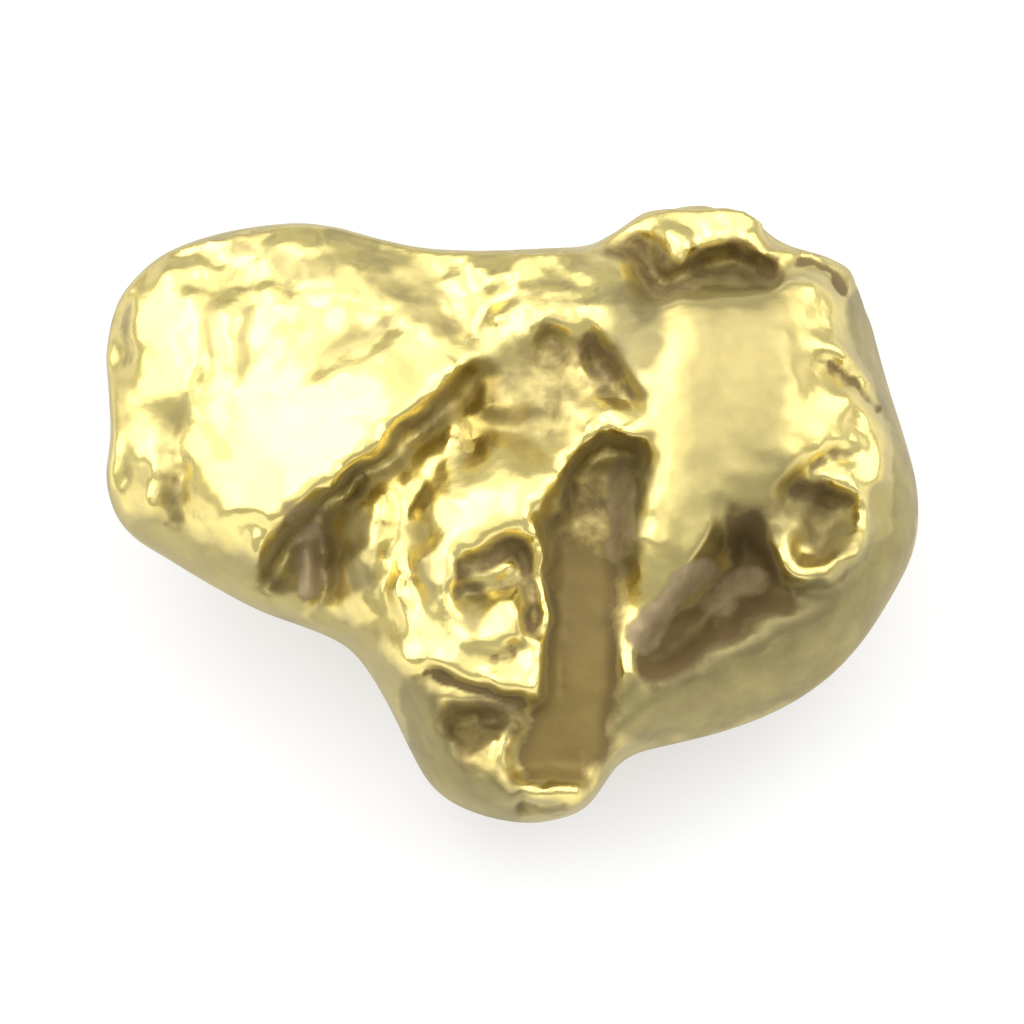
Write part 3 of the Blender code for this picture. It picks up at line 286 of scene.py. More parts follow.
# %% Break lines of the knob
KNOB = {
    "knob's brow": [(1.6, 4.32, 1.65), (1.98, 4.56, 1.8), (2.6, 4.64, 1.9), (3.26, 4.67, 1.9),
                    (3.69, 4.54, 1.85), (4.1, 4.22, 1.75)],
    "knob's crest": [(1.7, 4.15, 1.75), (2.2, 4.3, 2.05), (3.0, 4.35, 2.1), (3.5, 4.3, 2.05),
                     (3.95, 4.02, 1.95)],
    "spur": [(2.22, 4.18, 2.2), (2.4, 4.0, 2.4), (2.45, 3.66, 2.35)],
    "knob's streaks": [(2.72, 4.26, 1.96), (2.74, 4.0, 2.02)],
    "knob's other streak": [(3.25, 4.26, 2.0), (3.2, 4.12, 2.04)],
    "knob's lower edge": [(2.62, 3.82, 2.15), (3.0, 3.98, 2.2), (3.42, 4.1, 2.15), (3.58, 3.95, 2.3),
                          (3.75, 3.78, 2.3)],
    "cleft": [(1.4, 3.98, 1.75), (1.75, 3.92, 1.6), (1.98, 4.02, 1.6), (2.05, 3.6, 1.5),
              (2.15, 3.3, 1.75)],
    "cleft's bend": [(2.35, 3.45, 1.6), (2.7, 3.6, 1.4), (3.2, 3.7, 1.35), (3.6, 3.6, 1.5),
                     (3.85, 3.55, 1.75)],
    "cleft's near edge": [(2.5, 3.34, 2.3), (3.0, 3.3, 2.45), (3.6, 3.35, 2.4)],
    "dark line": [(4.05, 3.64, 2.2), (4.4, 3.68, 1.95), (4.72, 3.58, 1.85), (4.85, 3.36, 1.8)],
    "rim over the line": [(4.1, 3.86, 2.25), (4.6, 3.8, 1.95), (5.0, 3.56, 1.6)],
}
print("knob:", len(KNOB), "lines")

# %% [markdown]
# Between the lobes lies a saddle with a shallow bowl in it, and dark pockets along the bowl's right side.

# %% Break lines of the saddle
SADDLE = {
    "upper edge": [(-0.6, 3.75, 2.3), (0.3, 3.8, 2.3), (1.1, 3.82, 2.15)],
    "arch": [(-0.95, 3.2, 2.4), (-0.6, 3.2, 2.55), (-0.35, 3.48, 2.6), (0.1, 3.4, 2.45)],
    "under the arch": [(-0.9, 2.9, 2.35), (-0.6, 2.68, 2.42), (-0.3, 3.1, 2.42)],
    "left knob": [(-1.38, 2.75, 2.7), (-1.2, 2.55, 2.7)],
    "bright block": [(-0.26, 2.98, 2.6), (-0.08, 2.76, 2.7)],
    "crescent": [(0.12, 2.52, 2.65), (0.32, 2.62, 2.8), (0.4, 2.88, 2.8), (0.2, 3.12, 2.65)],
    "plate": [(0.62, 3.35, 2.5), (1.1, 3.45, 2.5), (1.62, 3.6, 2.35), (1.68, 3.2, 2.65), (1.2, 3.05, 2.85),
              (0.65, 3.0, 2.75)],
    "bowl's upper edge": [(0.52, 2.78, 2.7), (0.75, 2.78, 2.75), (0.92, 2.62, 2.65), (1.05, 2.85, 2.75)],
    "first dark pocket": [(0.52, 2.58, 2.35), (0.75, 2.5, 2.3), (0.92, 2.42, 2.35)],
    "rib between the pockets": [(0.92, 2.25, 2.6), (1.02, 2.5, 2.65)],
    "second dark pocket": [(1.15, 2.5, 2.25), (1.25, 2.2, 2.2), (1.48, 2.02, 2.3)],
    "third dark pocket": [(1.3, 1.85, 2.45), (1.55, 1.72, 2.45), (1.78, 1.7, 2.55)],
    "bowl's right edge": [(1.36, 3.0, 2.9), (1.42, 2.6, 2.98), (1.64, 2.12, 3.02), (1.88, 1.85, 3.08),
                          (2.02, 1.3, 3.1)],
    "left of the barrel": [(1.7, 3.05, 2.85), (1.78, 2.6, 3.0), (2.05, 2.25, 3.06)],
    "light spot there": [(1.98, 2.8, 3.08), (2.0, 2.6, 3.12)],
    "bowl's floor": [(-0.05, 2.2, 2.5), (0.3, 2.15, 2.4), (0.6, 2.1, 2.38)],
    "bowl's low side": [(0.0, 1.65, 2.45), (0.5, 1.5, 2.42), (0.75, 1.25, 2.5)],
    "diagonal ridge": [(0.72, 1.85, 2.6), (0.95, 1.5, 2.75), (1.22, 1.15, 2.92)],
    "right of the ridge": [(1.12, 1.58, 2.6), (1.45, 1.5, 2.85), (1.7, 1.42, 2.9)],
    "stained dip": [(-0.3, 1.95, 2.35), (-0.55, 1.75, 2.25), (-0.6, 1.3, 2.25), (-0.58, 0.95, 2.35)],
    "stained dip's arm": [(-0.25, 1.25, 2.3), (0.2, 1.25, 2.32), (0.4, 1.1, 2.4)],
    "bead": [(-0.33, 1.62, 2.55), (-0.3, 1.48, 2.5)],
    "second bead": [(-0.35, 0.95, 2.7), (-0.3, 0.8, 2.78)],
    "shallow rise": [(-0.9, 1.2, 2.5), (-0.85, 0.85, 2.65), (-1.2, 0.55, 2.55)],
}
print("saddle:", len(SADDLE), "lines")

# %% [markdown]
# ## From break lines to a net
# The points could be joined into triangles by hand, one by one. Blender's own constrained Delaunay
# triangulation does it in a moment and keeps every break line as an edge. The outline's points, pushed a
# little outwards, close the net all round.

# %% Join the lines into a net
SHOULDER_HEIGHT = 1.6  # of the net where it runs out under the outline
NET_MARGIN = 1.06      # how far the net's border is pushed outwards


def net_triangles():
    """The corners of the net's triangles with their heights."""
    places, heights, edges = [], [], []
    for group in (LEFT_LOBE, MIDDLE_LOBE, CHANNEL, RIGHT_LOBE, KNOB, SADDLE):
        for line in group.values():
            first = len(places)
            places += [Vector(point[:2]) for point in line]
            heights += [point[2] for point in line]
            edges += [(i, i + 1) for i in range(first, len(places) - 1)]
    for u, v, _ in OUTLINE:
        places.append(Vector((u, v)) * NET_MARGIN)
        heights.append(SHOULDER_HEIGHT)
    verts, _, faces, origins, *_ = geometry.delaunay_2d_cdt(places, edges, [], 0, 1e-5, True)
    levels = [np.mean([heights[i] for i in origin]) for origin in origins]
    return [[(*verts[i], levels[i]) for i in face] for face in faces]


net = net_triangles()
print("the net has", len(net), "facets")


# %% Read the net's height anywhere on the face
def net_height(u, v):
    """Each place gets the height of the facet that it lies on."""
    height = np.full(u.shape, SHOULDER_HEIGHT)
    for (au, av, a), (bu, bv, b), (cu, cv, c) in net:
        area = (bu - au) * (cv - av) - (bv - av) * (cu - au)
        share_b = ((u - au) * (cv - av) - (v - av) * (cu - au)) / area
        share_c = ((bu - au) * (v - av) - (bv - av) * (u - au)) / area
        on_facet = (share_b >= 0) & (share_c >= 0) & (share_b + share_c <= 1)
        height[on_facet] = (a + share_b * (b - a) + share_c * (c - a))[on_facet]
    return height


# %% [markdown]
# ## Softening and crumpling
# A net of flat facets looks cut with a knife. Two things make it metal: every edge is rounded a little, as
# with a soft brush, and the skin is crumpled. The crumples are dents side by side (a Voronoi pattern is
# exactly that) and uneven waves, and both are looked up a little off their place, so that no ridge runs
# straight. They could be left to the material as bump, but the edges of real crumples show against the
# light, so they go into the shape.

# %% Brushes for the relief map
GRID = 0.03  # spacing of the relief map


def soften(height, radius):
    """Rounds the map's edges off with a bell-shaped brush of that radius."""
    reach = int(math.ceil(3 * radius / GRID))
    bell = np.exp(-0.5 * (np.arange(-reach, reach + 1) * GRID / radius) ** 2)
    bell /= bell.sum()
    for axis in (0, 1):
        margin = [(reach, reach) if side == axis else (0, 0) for side in (0, 1)]
        padded = np.pad(height, margin, mode="edge")
        height = sum(weight * np.take(padded, range(i, i + height.shape[axis]), axis)
                     for i, weight in enumerate(bell))
    return height


def dents(u, v, cell):
    """0 in the middle of a dent, about 1 on the ridges between dents."""
    found = [noise.voronoi(Vector((a / cell, b / cell, 0.4)))[0][0] for a, b in zip(u.flat, v.flat)]
    return np.array(found).reshape(u.shape)


def waves(u, v, length, seed):
    """Uneven waves from about -1 to 1, of that length in millimetres."""
    found = [noise.fractal(Vector((a / length, b / length, seed)), 1.0, 2.0, 3)
             for a, b in zip(u.flat, v.flat)]
    return np.array(found).reshape(u.shape)


def creases(u, v, length, seed):
    """1 along thin winding lines and 0 between them."""
    return np.exp(-(waves(u, v, length, seed) / 0.14) ** 2)


def patches(u, v, places):
    """A field that is high near each of the places, given as u, v, reach and amount."""
    amount = np.zeros(u.shape)
    for a, b, reach, strength in places:
        amount = np.maximum(amount, strength * np.exp(-((u - a) ** 2 + (v - b) ** 2) / reach**2))
    return amount


# %% [markdown]
# Beaten gold is covered with small dents that meet in ridges. They are deepest on the old, unworn skin, so
# this list says where the skin is rough.

# %% Where the skin is crumpled: u, v, reach and amount
ROUGH = [
    (-3.3, 3.4, 1.1, 1.0), (-1.9, 3.2, 1.0, 0.9), (-4.5, 2.4, 0.5, 0.7), (-5.2, 0.6, 0.6, 0.8),
    (-3.9, 2.0, 0.8, 0.5), (-0.4, 3.1, 1.1, 1.0), (0.9, 3.2, 0.9, 0.9), (0.3, 1.8, 1.0, 0.8),
    (-1.2, 0.6, 0.8, 0.8), (-0.5, -1.2, 0.9, 0.6), (-1.9, -0.8, 0.7, 0.8), (2.9, 4.2, 1.0, 0.8),
    (4.8, 2.4, 0.8, 0.4), (4.6, 0.0, 0.7, 0.7), (-0.3, -2.7, 0.7, 0.5), (-4.4, 3.7, 0.7, 0.9),
    (1.4, 0.3, 0.8, 0.6), (3.0, -1.2, 0.9, 0.7), (-2.9, -0.8, 0.6, 0.6), (-4.6, -0.2, 0.5, 0.5),
    (-5.9, 2.6, 0.45, 0.9), (-5.9, 0.6, 0.5, 0.9), (-5.5, 3.6, 0.4, 0.6), (-2.2, 2.4, 0.7, 0.5),
    (5.4, 1.0, 0.6, 0.5), (0.5, -4.2, 0.6, 0.6), (-1.6, -1.9, 0.6, 0.5), (3.0, 3.6, 0.6, 0.9),
    (2.8, -1.6, 0.6, 0.8), (-0.6, -3.0, 0.5, 0.7), (1.0, -1.4, 0.5, 0.5), (0.9, -2.8, 0.5, 0.5),
    (1.9, 2.8, 0.5, 0.8),
]
print("the skin is rough at", len(ROUGH), "places")

# %% Sculpt the relief map
DOME = 0.006    # how fast the face falls away round its middle
CRUMPLE = 0.10  # height of the crumples on the roughest skin
DIMPLE = 0.04   # height of the smaller crumples on them
ROLL = 0.03     # height of the slow waves, which the worn skin has too
CREASE = 0.08   # depth of the thin creases
BRINK = 0.12    # how ragged the edges of the hollows are
CRUMPLE_WIDTH, DIMPLE_WIDTH = 0.50, 0.30
STRAY = 0.15    # how far crumples and strokes are pushed off their lines
SHARP_EDGE, WORN_EDGE = 0.04, 0.09  # radius of the brush that rounds them

us, vs = np.arange(-6.6, 6.6, GRID), np.arange(-5.1, 5.1, GRID)
map_u, map_v = np.meshgrid(us, vs)
aside, along = waves(map_u, map_v, 0.6, 3.1), waves(map_u, map_v, 0.6, 7.7)
crumpled = np.maximum(patches(map_u, map_v, ROUGH), 0.06)
shake = waves(map_u, map_v, 0.22, 5.5)
relief = net_height(map_u + 0.08 * aside + 0.04 * shake, map_v + 0.08 * along - 0.04 * shake)
sharp = np.clip(0.5 + 1.2 * waves(map_u, map_v, 1.0, 33.0), 0, 1)
relief = sharp * soften(relief, SHARP_EDGE) + (1 - sharp) * soften(relief, WORN_EDGE)
relief -= DOME * (map_u**2 + map_v**2)
ridges = dents(map_u + STRAY * aside, map_v + STRAY * along, CRUMPLE_WIDTH)
relief += CRUMPLE * crumpled * (ridges - 0.5)
ridges = dents(map_u + 0.10 * along, map_v + 0.10 * aside, DIMPLE_WIDTH)
relief += DIMPLE * crumpled * (ridges - 0.5)
folds = np.maximum(creases(map_u, map_v, 0.55, 41.0), 0.6 * creases(map_u, map_v, 0.35, 52.0))
slow = ROLL * (0.4 + crumpled) * waves(map_u, map_v, 0.9, 12.0)
relief += slow - CREASE * crumpled * soften(folds, 0.03)
brink = np.clip(np.abs(soften(relief, 0.12) - relief) / 0.08, 0, 1)
relief += BRINK * brink * waves(map_u, map_v, 0.25, 61.0)
print("the relief lies", round(float(relief.min()), 2), "to", round(float(relief.max()), 2),
      "mm above the widest line")


# %% Read a map between its grid points
def sample(field, u, v):
    """The field's value at each place, mixed from the four grid points round it."""
    x = np.clip((u - us[0]) / GRID, 0, len(us) - 1.001)
    y = np.clip((v - vs[0]) / GRID, 0, len(vs) - 1.001)
    i, j = x.astype(int), y.astype(int)
    x, y = x - i, y - j
    low = field[j, i] * (1 - x) + field[j, i + 1] * x
    high = field[j + 1, i] * (1 - x) + field[j + 1, i + 1] * x
    return low * (1 - y) + high * y


# %% [markdown]
# ## A ball pressed into the outline
# A relief is open behind, and the nugget is a closed lump. It could be given a back and stitched to it
# along the outline. It is simpler to start from an icosphere, which is closed and has no poles: its equator
# is stretched out to the outline, its front half takes the relief and its back half a plain round.

# %% The smooth outline and the distance to it
def smooth_curve(points, per_span=6):
    """A smooth closed line through the points."""
    points = np.array(points, float)
    padded = np.vstack([points[-1:], points, points[:2]])
    t = np.linspace(0, 1, per_span, endpoint=False)[:, None]
    spans = []
    for a, b, c, d in zip(padded, padded[1:], padded[2:], padded[3:]):
        spans.append(0.5 * (2 * b + (c - a) * t + (2 * a - 5 * b + 4 * c - d) * t**2
                            + (3 * b - a - 3 * c + d) * t**3))
    return np.vstack(spans)


def line_distance(u, v, line):
    """How far each place is from the nearest point of the line."""
    best = np.full(u.shape, np.inf)
    for (au, av), (bu, bv) in zip(line, line[1:]):
        length2 = (bu - au) ** 2 + (bv - av) ** 2
        t = np.clip(((u - au) * (bu - au) + (v - av) * (bv - av)) / length2, 0, 1)
        best = np.minimum(best, np.hypot(u - au - t * (bu - au), v - av - t * (bv - av)))
    return best


outline = smooth_curve([point[:2] for point in OUTLINE])
print("the smooth outline has", len(outline), "points")


# %% Lay the ball's points over the face
def spread(points):
    """Where each point of the ball goes on the face, and how far that is from the outline."""
    bearing = np.arctan2(*(outline - CENTRE).T[::-1])
    order = np.argsort(bearing)
    reach = np.hypot(*(outline - CENTRE).T)
    angle = np.arctan2(points[:, 1], points[:, 0])
    radial = np.hypot(points[:, 0], points[:, 1])
    far = radial * np.interp(angle, bearing[order], reach[order], period=2 * math.pi)
    u, v = CENTRE[0] + far * np.cos(angle), CENTRE[1] + far * np.sin(angle)
    closed = np.vstack([outline, outline[:1]])
    return u, v, np.where(radial < 0.9999, line_distance(u, v, closed), 0)


def quarter_round(gap, width):
    """Rises from 0 at the outline to 1 at that width inside it, along a quarter of an ellipse."""
    return np.sqrt(1 - (1 - np.clip(gap / width, 0, 1)) ** 2)


def edge_width(u, v):
    """The width of the outline's round at each place, from the outline's points near it."""
    pull = [((u - a) ** 2 + (v - b) ** 2 + 0.02) ** -2 for a, b, _ in OUTLINE]
    return sum(p * width for p, (_, _, width) in zip(pull, OUTLINE)) / sum(pull)


# %% Press it
UNDER_ROUND = 3.4  # width of the round from the outline to the underside

ball = bmesh.new()
bmesh.ops.create_icosphere(ball, subdivisions=7, radius=1.0)
points = np.array([vert.co[:] for vert in ball.verts])
u, v, edge_gap = spread(points)
widest = -RIM_FALL * v
table = -(TABLE_DEPTH + v * math.sin(lean)) / math.cos(lean)
front = widest + sample(relief, u, v) * quarter_round(edge_gap, edge_width(u, v))
behind = widest + (table - widest) * quarter_round(edge_gap, UNDER_ROUND)
for vert, place in zip(ball.verts, np.column_stack([u, v, np.where(points[:, 2] > 0, front, behind)])):
    vert.co = place
bmesh.ops.transform(ball, matrix=Matrix.Rotation(lean, 4, "X"), verts=ball.verts)
print("pressed a ball of", len(ball.verts), "points")

# %% [markdown]
# ## The side nobody sees first
# A nugget is lumpy all round. Below its widest line it narrows towards the table, with low lumps and dents
# pushed in and out along the surface's normals. A Displace modifier could do that, but here no lump may
# rise further than its distance from the outline, or it would show past the edge, and right behind the edge
# there are only dents. The widest line itself wanders up and down along the sides, because a level one
# would show in the shiny metal as a ruled line all round.

# %% Shape the flanks and the underside
TAPER = 0.38       # how much the nugget narrows from its widest line to the table
FAR_SIDE = 2.8     # the far side starts this high up the face
FAR_FADE = 0.8     # and over this height its dents set in
LUMPS = 0.42       # height of the lumps and dents
LUMP_LENGTH = 2.4  # from one lump to the next
DENT_LENGTH = 1.5  # from one dent to the next
SWAY = 1.1         # how far the widest line wanders up and down along the sides
SWAY_LENGTH = 1.7  # from one bend in it to the next
SWAY_REACH = 1.4   # the wandering has died out this far above and below the line

ball.normal_update()
moves = []
for vert, gap in zip(ball.verts, edge_gap):
    height_up = vert.co.dot(across)
    upright = max(1 - 2 * abs(vert.normal.dot(out)), 0)
    drop = (-RIM_FALL * height_up - vert.co.dot(out)) / (TABLE_DEPTH + 2)
    under = min(max(drop, 0), 1)
    back = min(max((height_up - FAR_SIDE) / FAR_FADE, 0), 1) * upright
    lump = noise.fractal(vert.co / LUMP_LENGTH + Vector((4, 0, 0)), 1.0, 2.0, 3)
    lump += 0.8 * (noise.voronoi(vert.co / DENT_LENGTH)[0][0] - 0.6)
    full = min(under * 4.5, 1)
    rise = min(LUMPS * (full * lump + (1 - full) * back * min(lump - 0.1, 0)), 0.9 * gap)
    inward = Vector((CENTRE[0] - vert.co.x, CENTRE[1] - vert.co.y, 0)) * TAPER * under**1.5
    off_line = abs(vert.co.dot(out) + RIM_FALL * height_up)
    beside = max(1 - off_line / SWAY_REACH, 0) * upright
    sway = SWAY * noise.noise(vert.co / SWAY_LENGTH + Vector((0, 9, 0))) * beside
    moves.append(inward + vert.normal * rise + out * sway)
for vert, move in zip(ball.verts, moves):
    vert.co += move
print("the largest move is", round(max(move.length for move in moves), 2), "mm")

# %% [markdown]
# ## Even faces
# Where the ball was pulled up a cliff its faces are long and thin, and subdividing would keep them so. A
# voxel remesh lays new faces of one size over the same surface, and a few rounds of smoothing take the
# steps out that voxels leave. The sides get a dozen rounds more, so that front and back meet there without
# a seam.

# %% Remesh and smooth
VOXEL = 0.065    # size of the fine mesh's faces
SIDE_BAND = 0.9  # the sides reach this far above and below the widest line
SIDE_ROUNDS = 12


def as_object(name, shape):
    """A new object in the scene, made from that bmesh."""
    mesh = bpy.data.meshes.new(name)
    shape.to_mesh(mesh)
    made = bpy.data.objects.new(name, mesh)
    bpy.context.scene.collection.objects.link(made)
    return made


rough_cast = as_object("rough_cast", ball)
remesh = rough_cast.modifiers.new("Even faces", "REMESH")
remesh.mode = "VOXEL"
remesh.voxel_size = VOXEL
smooth = rough_cast.modifiers.new("No steps", "SMOOTH")
smooth.factor = 0.5
smooth.iterations = 3
ball.clear()
ball.from_mesh(rough_cast.evaluated_get(bpy.context.evaluated_depsgraph_get()).to_mesh())
ball.normal_update()
sides = [vert for vert in ball.verts if vert.normal.dot(out) < 0.35
         and abs(vert.co.dot(out) + RIM_FALL * vert.co.dot(across)) < SIDE_BAND]
for _ in range(SIDE_ROUNDS):
    bmesh.ops.smooth_vert(ball, verts=sides, factor=0.5, use_axis_x=True, use_axis_y=True, use_axis_z=True)
bpy.data.objects.remove(rough_cast)
print("even faces:", len(ball.faces), "and points smoothed at the sides:", len(sides))

# %% [markdown]
# ## Where the gold is stained, and where shade is painted
# Iron from the river bed stays in the hollows, where nothing rubs it off. The stains could be painted by
# hand in Texture Paint, but the relief map knows already where they belong: a hollow is a place that lies
# lower than the ground around it, so the map is compared with a much softened copy of itself. Strokes along
# the hollows then say how strong each stain is. The same brown also stands in for the shade that falls in
# the hollows, grooves and pockets and under the shelf, the curl and the tip's ridge, so it is partly
# painted shade. Every table below lists a width, an amount and the line that the stroke follows.
#
# Brown earth and painted shade lie in the hollows.

# %% Brown earth and painted shade
STAINED_AND_SHADED = [
    (0.68, 0.95, [(1.0, -2.1), (0.95, -2.6), (0.75, -3.5)]),
    (0.64, 0.92, [(1.05, -1.0), (1.0, -2.2)]),
    (0.60, 0.76, [(1.05, 0.0), (1.05, -1.1)]),
    (0.45, 0.4, [(0.95, 0.75), (1.5, 0.85)]),
    (0.40, 0.6, [(1.15, 0.4), (1.0, -0.3)]),
    (0.42, 1.0, [(2.05, -2.2), (2.9, -1.75), (3.55, -0.9), (3.5, -0.2)]),
    (0.30, 1.0, [(3.1, -1.4), (3.85, -1.25)]),
    (0.28, 0.60, [(-3.4, -0.7), (-2.6, 0.15), (-1.9, 0.8), (-0.8, 1.75)]),
    (0.22, 0.6, [(-3.4, -1.0), (-3.2, -0.5)]),
    (0.14, 0.60, [(-3.45, -0.1), (-2.65, 0.5), (-1.95, 1.1), (-0.9, 1.98)]),
    (0.18, 0.65, [(-2.78, -1.2), (-2.78, -0.4)]),
    (0.22, 0.80, [(-0.74, -0.84), (-0.3, -0.58), (0.1, -0.5), (0.32, -0.9), (0.35, -1.4), (0.25, -1.85)]),
    (0.10, 0.75, [(-0.8, -1.2), (-0.3, -1.08), (0.1, -1.08)]),
    (0.34, 0.74, [(-0.85, -3.0), (0.0, -3.0)]),
    (0.32, 0.70, [(-0.5, -3.05), (-0.58, -3.4)]),
    (0.24, 0.8, [(1.5, 4.0), (2.05, 3.85), (2.15, 3.4)]),
    (0.34, 0.72, [(2.3, 3.5), (3.1, 3.75), (3.8, 3.6)]),
    # painted shadow in the dark pockets along the bowl's right side
    (0.20, 0.7, [(0.5, 2.55), (0.9, 2.4)]),
    (0.20, 0.8, [(1.15, 2.5), (1.25, 2.2), (1.48, 2.02)]),
    (0.12, 0.7, [(1.3, 1.8), (1.75, 1.68)]),
    (0.40, 0.55, [(4.4, 0.0), (4.65, -0.35)]),
    (0.20, 0.8, [(4.25, 0.4), (4.9, 0.2)]),
    (0.50, 0.42, [(0.2, 2.2), (0.7, 2.0), (0.4, 1.5)]),
    # painted shadow under the curl and under the tip's ridge
    (0.10, 0.5, [(3.85, -0.95), (4.2, -1.1), (4.6, -1.08), (4.85, -0.85)]),
    (0.14, 0.6, [(0.2, -4.36), (0.9, -4.4)]),
    (0.20, 0.35, [(-5.75, 2.95), (-5.8, 2.3)]),
    (0.35, 0.25, [(-0.75, 2.95), (-0.5, 2.7)]),
]
# brown in narrow grooves, partly earth and partly painted shade
GROOVE_STAINS_AND_SHADE = [  # strokes that stay inside a narrow groove
    (0.25, 0.6, [(-4.6, 1.5), (-4.95, 0.9), (-4.95, -0.1)]),
    (0.14, 0.9, [(4.7, 2.12), (5.03, 1.9), (5.28, 1.62)]),
    (0.14, 0.6, [(5.05, 1.42), (5.35, 1.0)]),
    (0.25, 1.0, [(3.8, 3.6), (4.4, 3.66), (4.84, 3.4)]),
    (0.25, 1.0, [(-1.25, -2.32), (-0.5, -2.52), (0.4, -2.84)]),
    (0.25, 0.8, [(-0.7, -2.0), (-0.2, -2.08)]),
    (0.25, 0.7, [(4.25, 0.6), (4.7, 0.86), (5.2, 0.75)]),
]
# the earth in these strokes is partly painted shade
print(len(STAINED_AND_SHADED), "strokes of earth in hollows and", len(GROOVE_STAINS_AND_SHADE), "in grooves")

# %% [markdown]
# Rust colours the gold amber where water ran along the channel and the cleft. A pale pinkish clay has dried
# on a few walls.

# %% Rust and clay
RUSTY = [
    (0.50, 0.42, [(1.05, -0.7), (0.95, -2.2)]),
    (0.52, 0.54, [(0.95, -2.4), (0.75, -3.6)]),
    (0.34, 1.0, [(-0.52, 1.85), (-0.48, 1.15)]),
    (0.22, 0.70, [(-0.4, 1.48), (0.15, 1.42)]),
    (0.25, 0.4, [(-1.7, 0.2), (-1.75, -0.5)]),
]
CLAY = [
    (0.20, 0.60, [(1.60, 0.80), (1.58, -0.55)]),
    (0.24, 0.85, [(1.84, -1.80), (2.30, -1.34), (2.78, -0.90)]),
    (0.32, 0.60, [(3.0, -1.3), (3.45, -1.05)]),
    (0.18, 1.00, [(-2.97, -0.35), (-2.97, -1.15)]),
    (0.24, 0.55, [(-3.1, 0.0), (-2.85, -0.2)]),
    (0.16, 0.50, [(1.1, 2.1), (1.2, 1.95)]),
    (0.22, 0.45, [(-0.75, -2.72), (-0.2, -2.8)]),
]
print(len(RUSTY), "strokes of rust and", len(CLAY), "of clay")

# %% [markdown]
# Gravel has scuffed the gold along the lower flanks, the rim and the barrel. Scuffed metal is as golden as
# the rest, but its countless scratches scatter the light, so it looks dull and khaki. The same dull khaki
# is also painted shade: on the barrel where it faces the camera, and on the low band and the lower flanks
# where they face down.

# %% Scuffed gold and painted shade
WORN_AND_SHADED = [
    (0.20, 0.8, [(-2.3, -0.1), (-2.25, -0.9)]),
    (0.20, 0.8, [(-0.65, -1.2), (-0.55, -1.5)]),
    (0.15, 0.7, [(-1.45, -0.2), (-1.3, -0.7), (-1.25, -1.2)]),
    (0.28, 0.9, [(1.75, 0.6), (1.62, -0.7)]),
    (0.60, 0.62, [(-0.1, 1.95), (0.5, 1.75), (0.25, 1.3)]),
    (0.42, 0.8, [(4.35, 0.15), (4.65, -0.35)]),
    (0.18, 0.8, [(4.0, 0.4), (3.93, -0.25)]),
    (0.30, 1.0, [(5.15, 3.1), (5.45, 2.2), (5.8, 1.1), (5.85, 0.2), (5.7, -0.5)]),
    (0.25, 0.8, [(5.5, 0.3), (5.45, -0.6)]),
    # scuffs and painted shade on the low band along the lower flank
    (0.65, 1.0, [(5.5, -0.9), (4.9, -1.7), (4.0, -2.35), (3.0, -2.75), (2.0, -2.95)]),
    (0.45, 1.0, [(-1.3, -3.6), (-0.7, -4.05), (-0.1, -4.3)]),
    (0.16, 0.8, [(0.1, -4.42), (0.9, -4.42)]),
    (0.35, 1.0, [(-1.4, -2.7), (-1.15, -3.4)]),
    (0.40, 0.8, [(-5.3, -0.3), (-4.2, -0.85), (-3.3, -1.35)]),
    (0.28, 0.8, [(-2.7, -1.65), (-2.1, -1.9), (-1.7, -2.6)]),
    (0.22, 0.4, [(-5.76, 3.3), (-5.82, 2.4), (-5.78, 1.5)]),
    (0.13, 0.6, [(-4.85, 1.6), (-5.06, 1.1), (-5.02, 0.5), (-4.95, 0.0)]),
    (0.14, 0.6, [(-4.5, 1.3), (-4.3, 0.8)]),
    (0.11, 0.7, [(-4.40, 3.0), (-4.42, 2.4)]),
    (0.11, 0.7, [(-3.82, 3.05), (-3.98, 1.9)]),
    (0.11, 0.7, [(-2.85, 2.12), (-2.3, 2.55), (-1.95, 2.8), (-1.5, 2.88), (-1.0, 2.7)]),
    (0.16, 0.7, [(-3.6, 3.8), (-3.1, 3.6), (-2.75, 3.65)]),
    (0.10, 0.8, [(-4.05, 4.0), (-3.9, 3.85)]),
    (0.12, 0.9, [(-2.6, 4.1), (-2.0, 3.95)]),
    (0.35, 0.45, [(-1.8, 3.6), (-1.2, 3.2)]),
    (0.20, 0.7, [(-1.2, 3.05), (-0.9, 2.8)]),
    (0.28, 0.4, [(-1.85, 2.15), (-1.6, 1.95)]),
    # painted shade: the barrel's khaki where it faces the camera
    (0.90, 0.76, [(3.3, 2.8), (3.25, 0.3)]),
    (0.50, 0.40, [(2.8, -0.3), (2.4, -1.0)]),
    (0.42, 1.0, [(1.75, 3.1), (1.88, 2.4)]),
    (0.34, 1.1, [(2.15, -2.36), (3.0, -2.02), (3.68, -1.60), (4.55, -1.30)]),
    (0.16, 0.9, [(1.5, 2.3), (1.72, 2.0), (1.85, 1.72)]),
    (0.35, 0.32, [(2.35, 2.8), (2.2, 0.3)]),
]
print(len(WORN_AND_SHADED), "strokes of scuffs")

# %% [markdown]
# The strokes are laid on the same map as the relief, pushed a little off their lines by the same waves, so
# that no stroke runs straight either.

# %% Stain and painted shade maps
def strokes(lines):
    """A field that is high along each of the lines."""
    amount = np.zeros(map_u.shape)
    for width, strength, line in lines:
        away = line_distance(map_u + STRAY * aside, map_v + STRAY * along, np.array(line))
        share = np.clip(1.25 - away / width, 0, 1)
        amount = np.maximum(amount, strength * np.minimum(1.8 * share, 1))
    return amount


def ramp(values, low, high):
    """0 up to low, 1 from high on, and straight between them."""
    return np.clip((values - low) / (high - low), 0, 1)


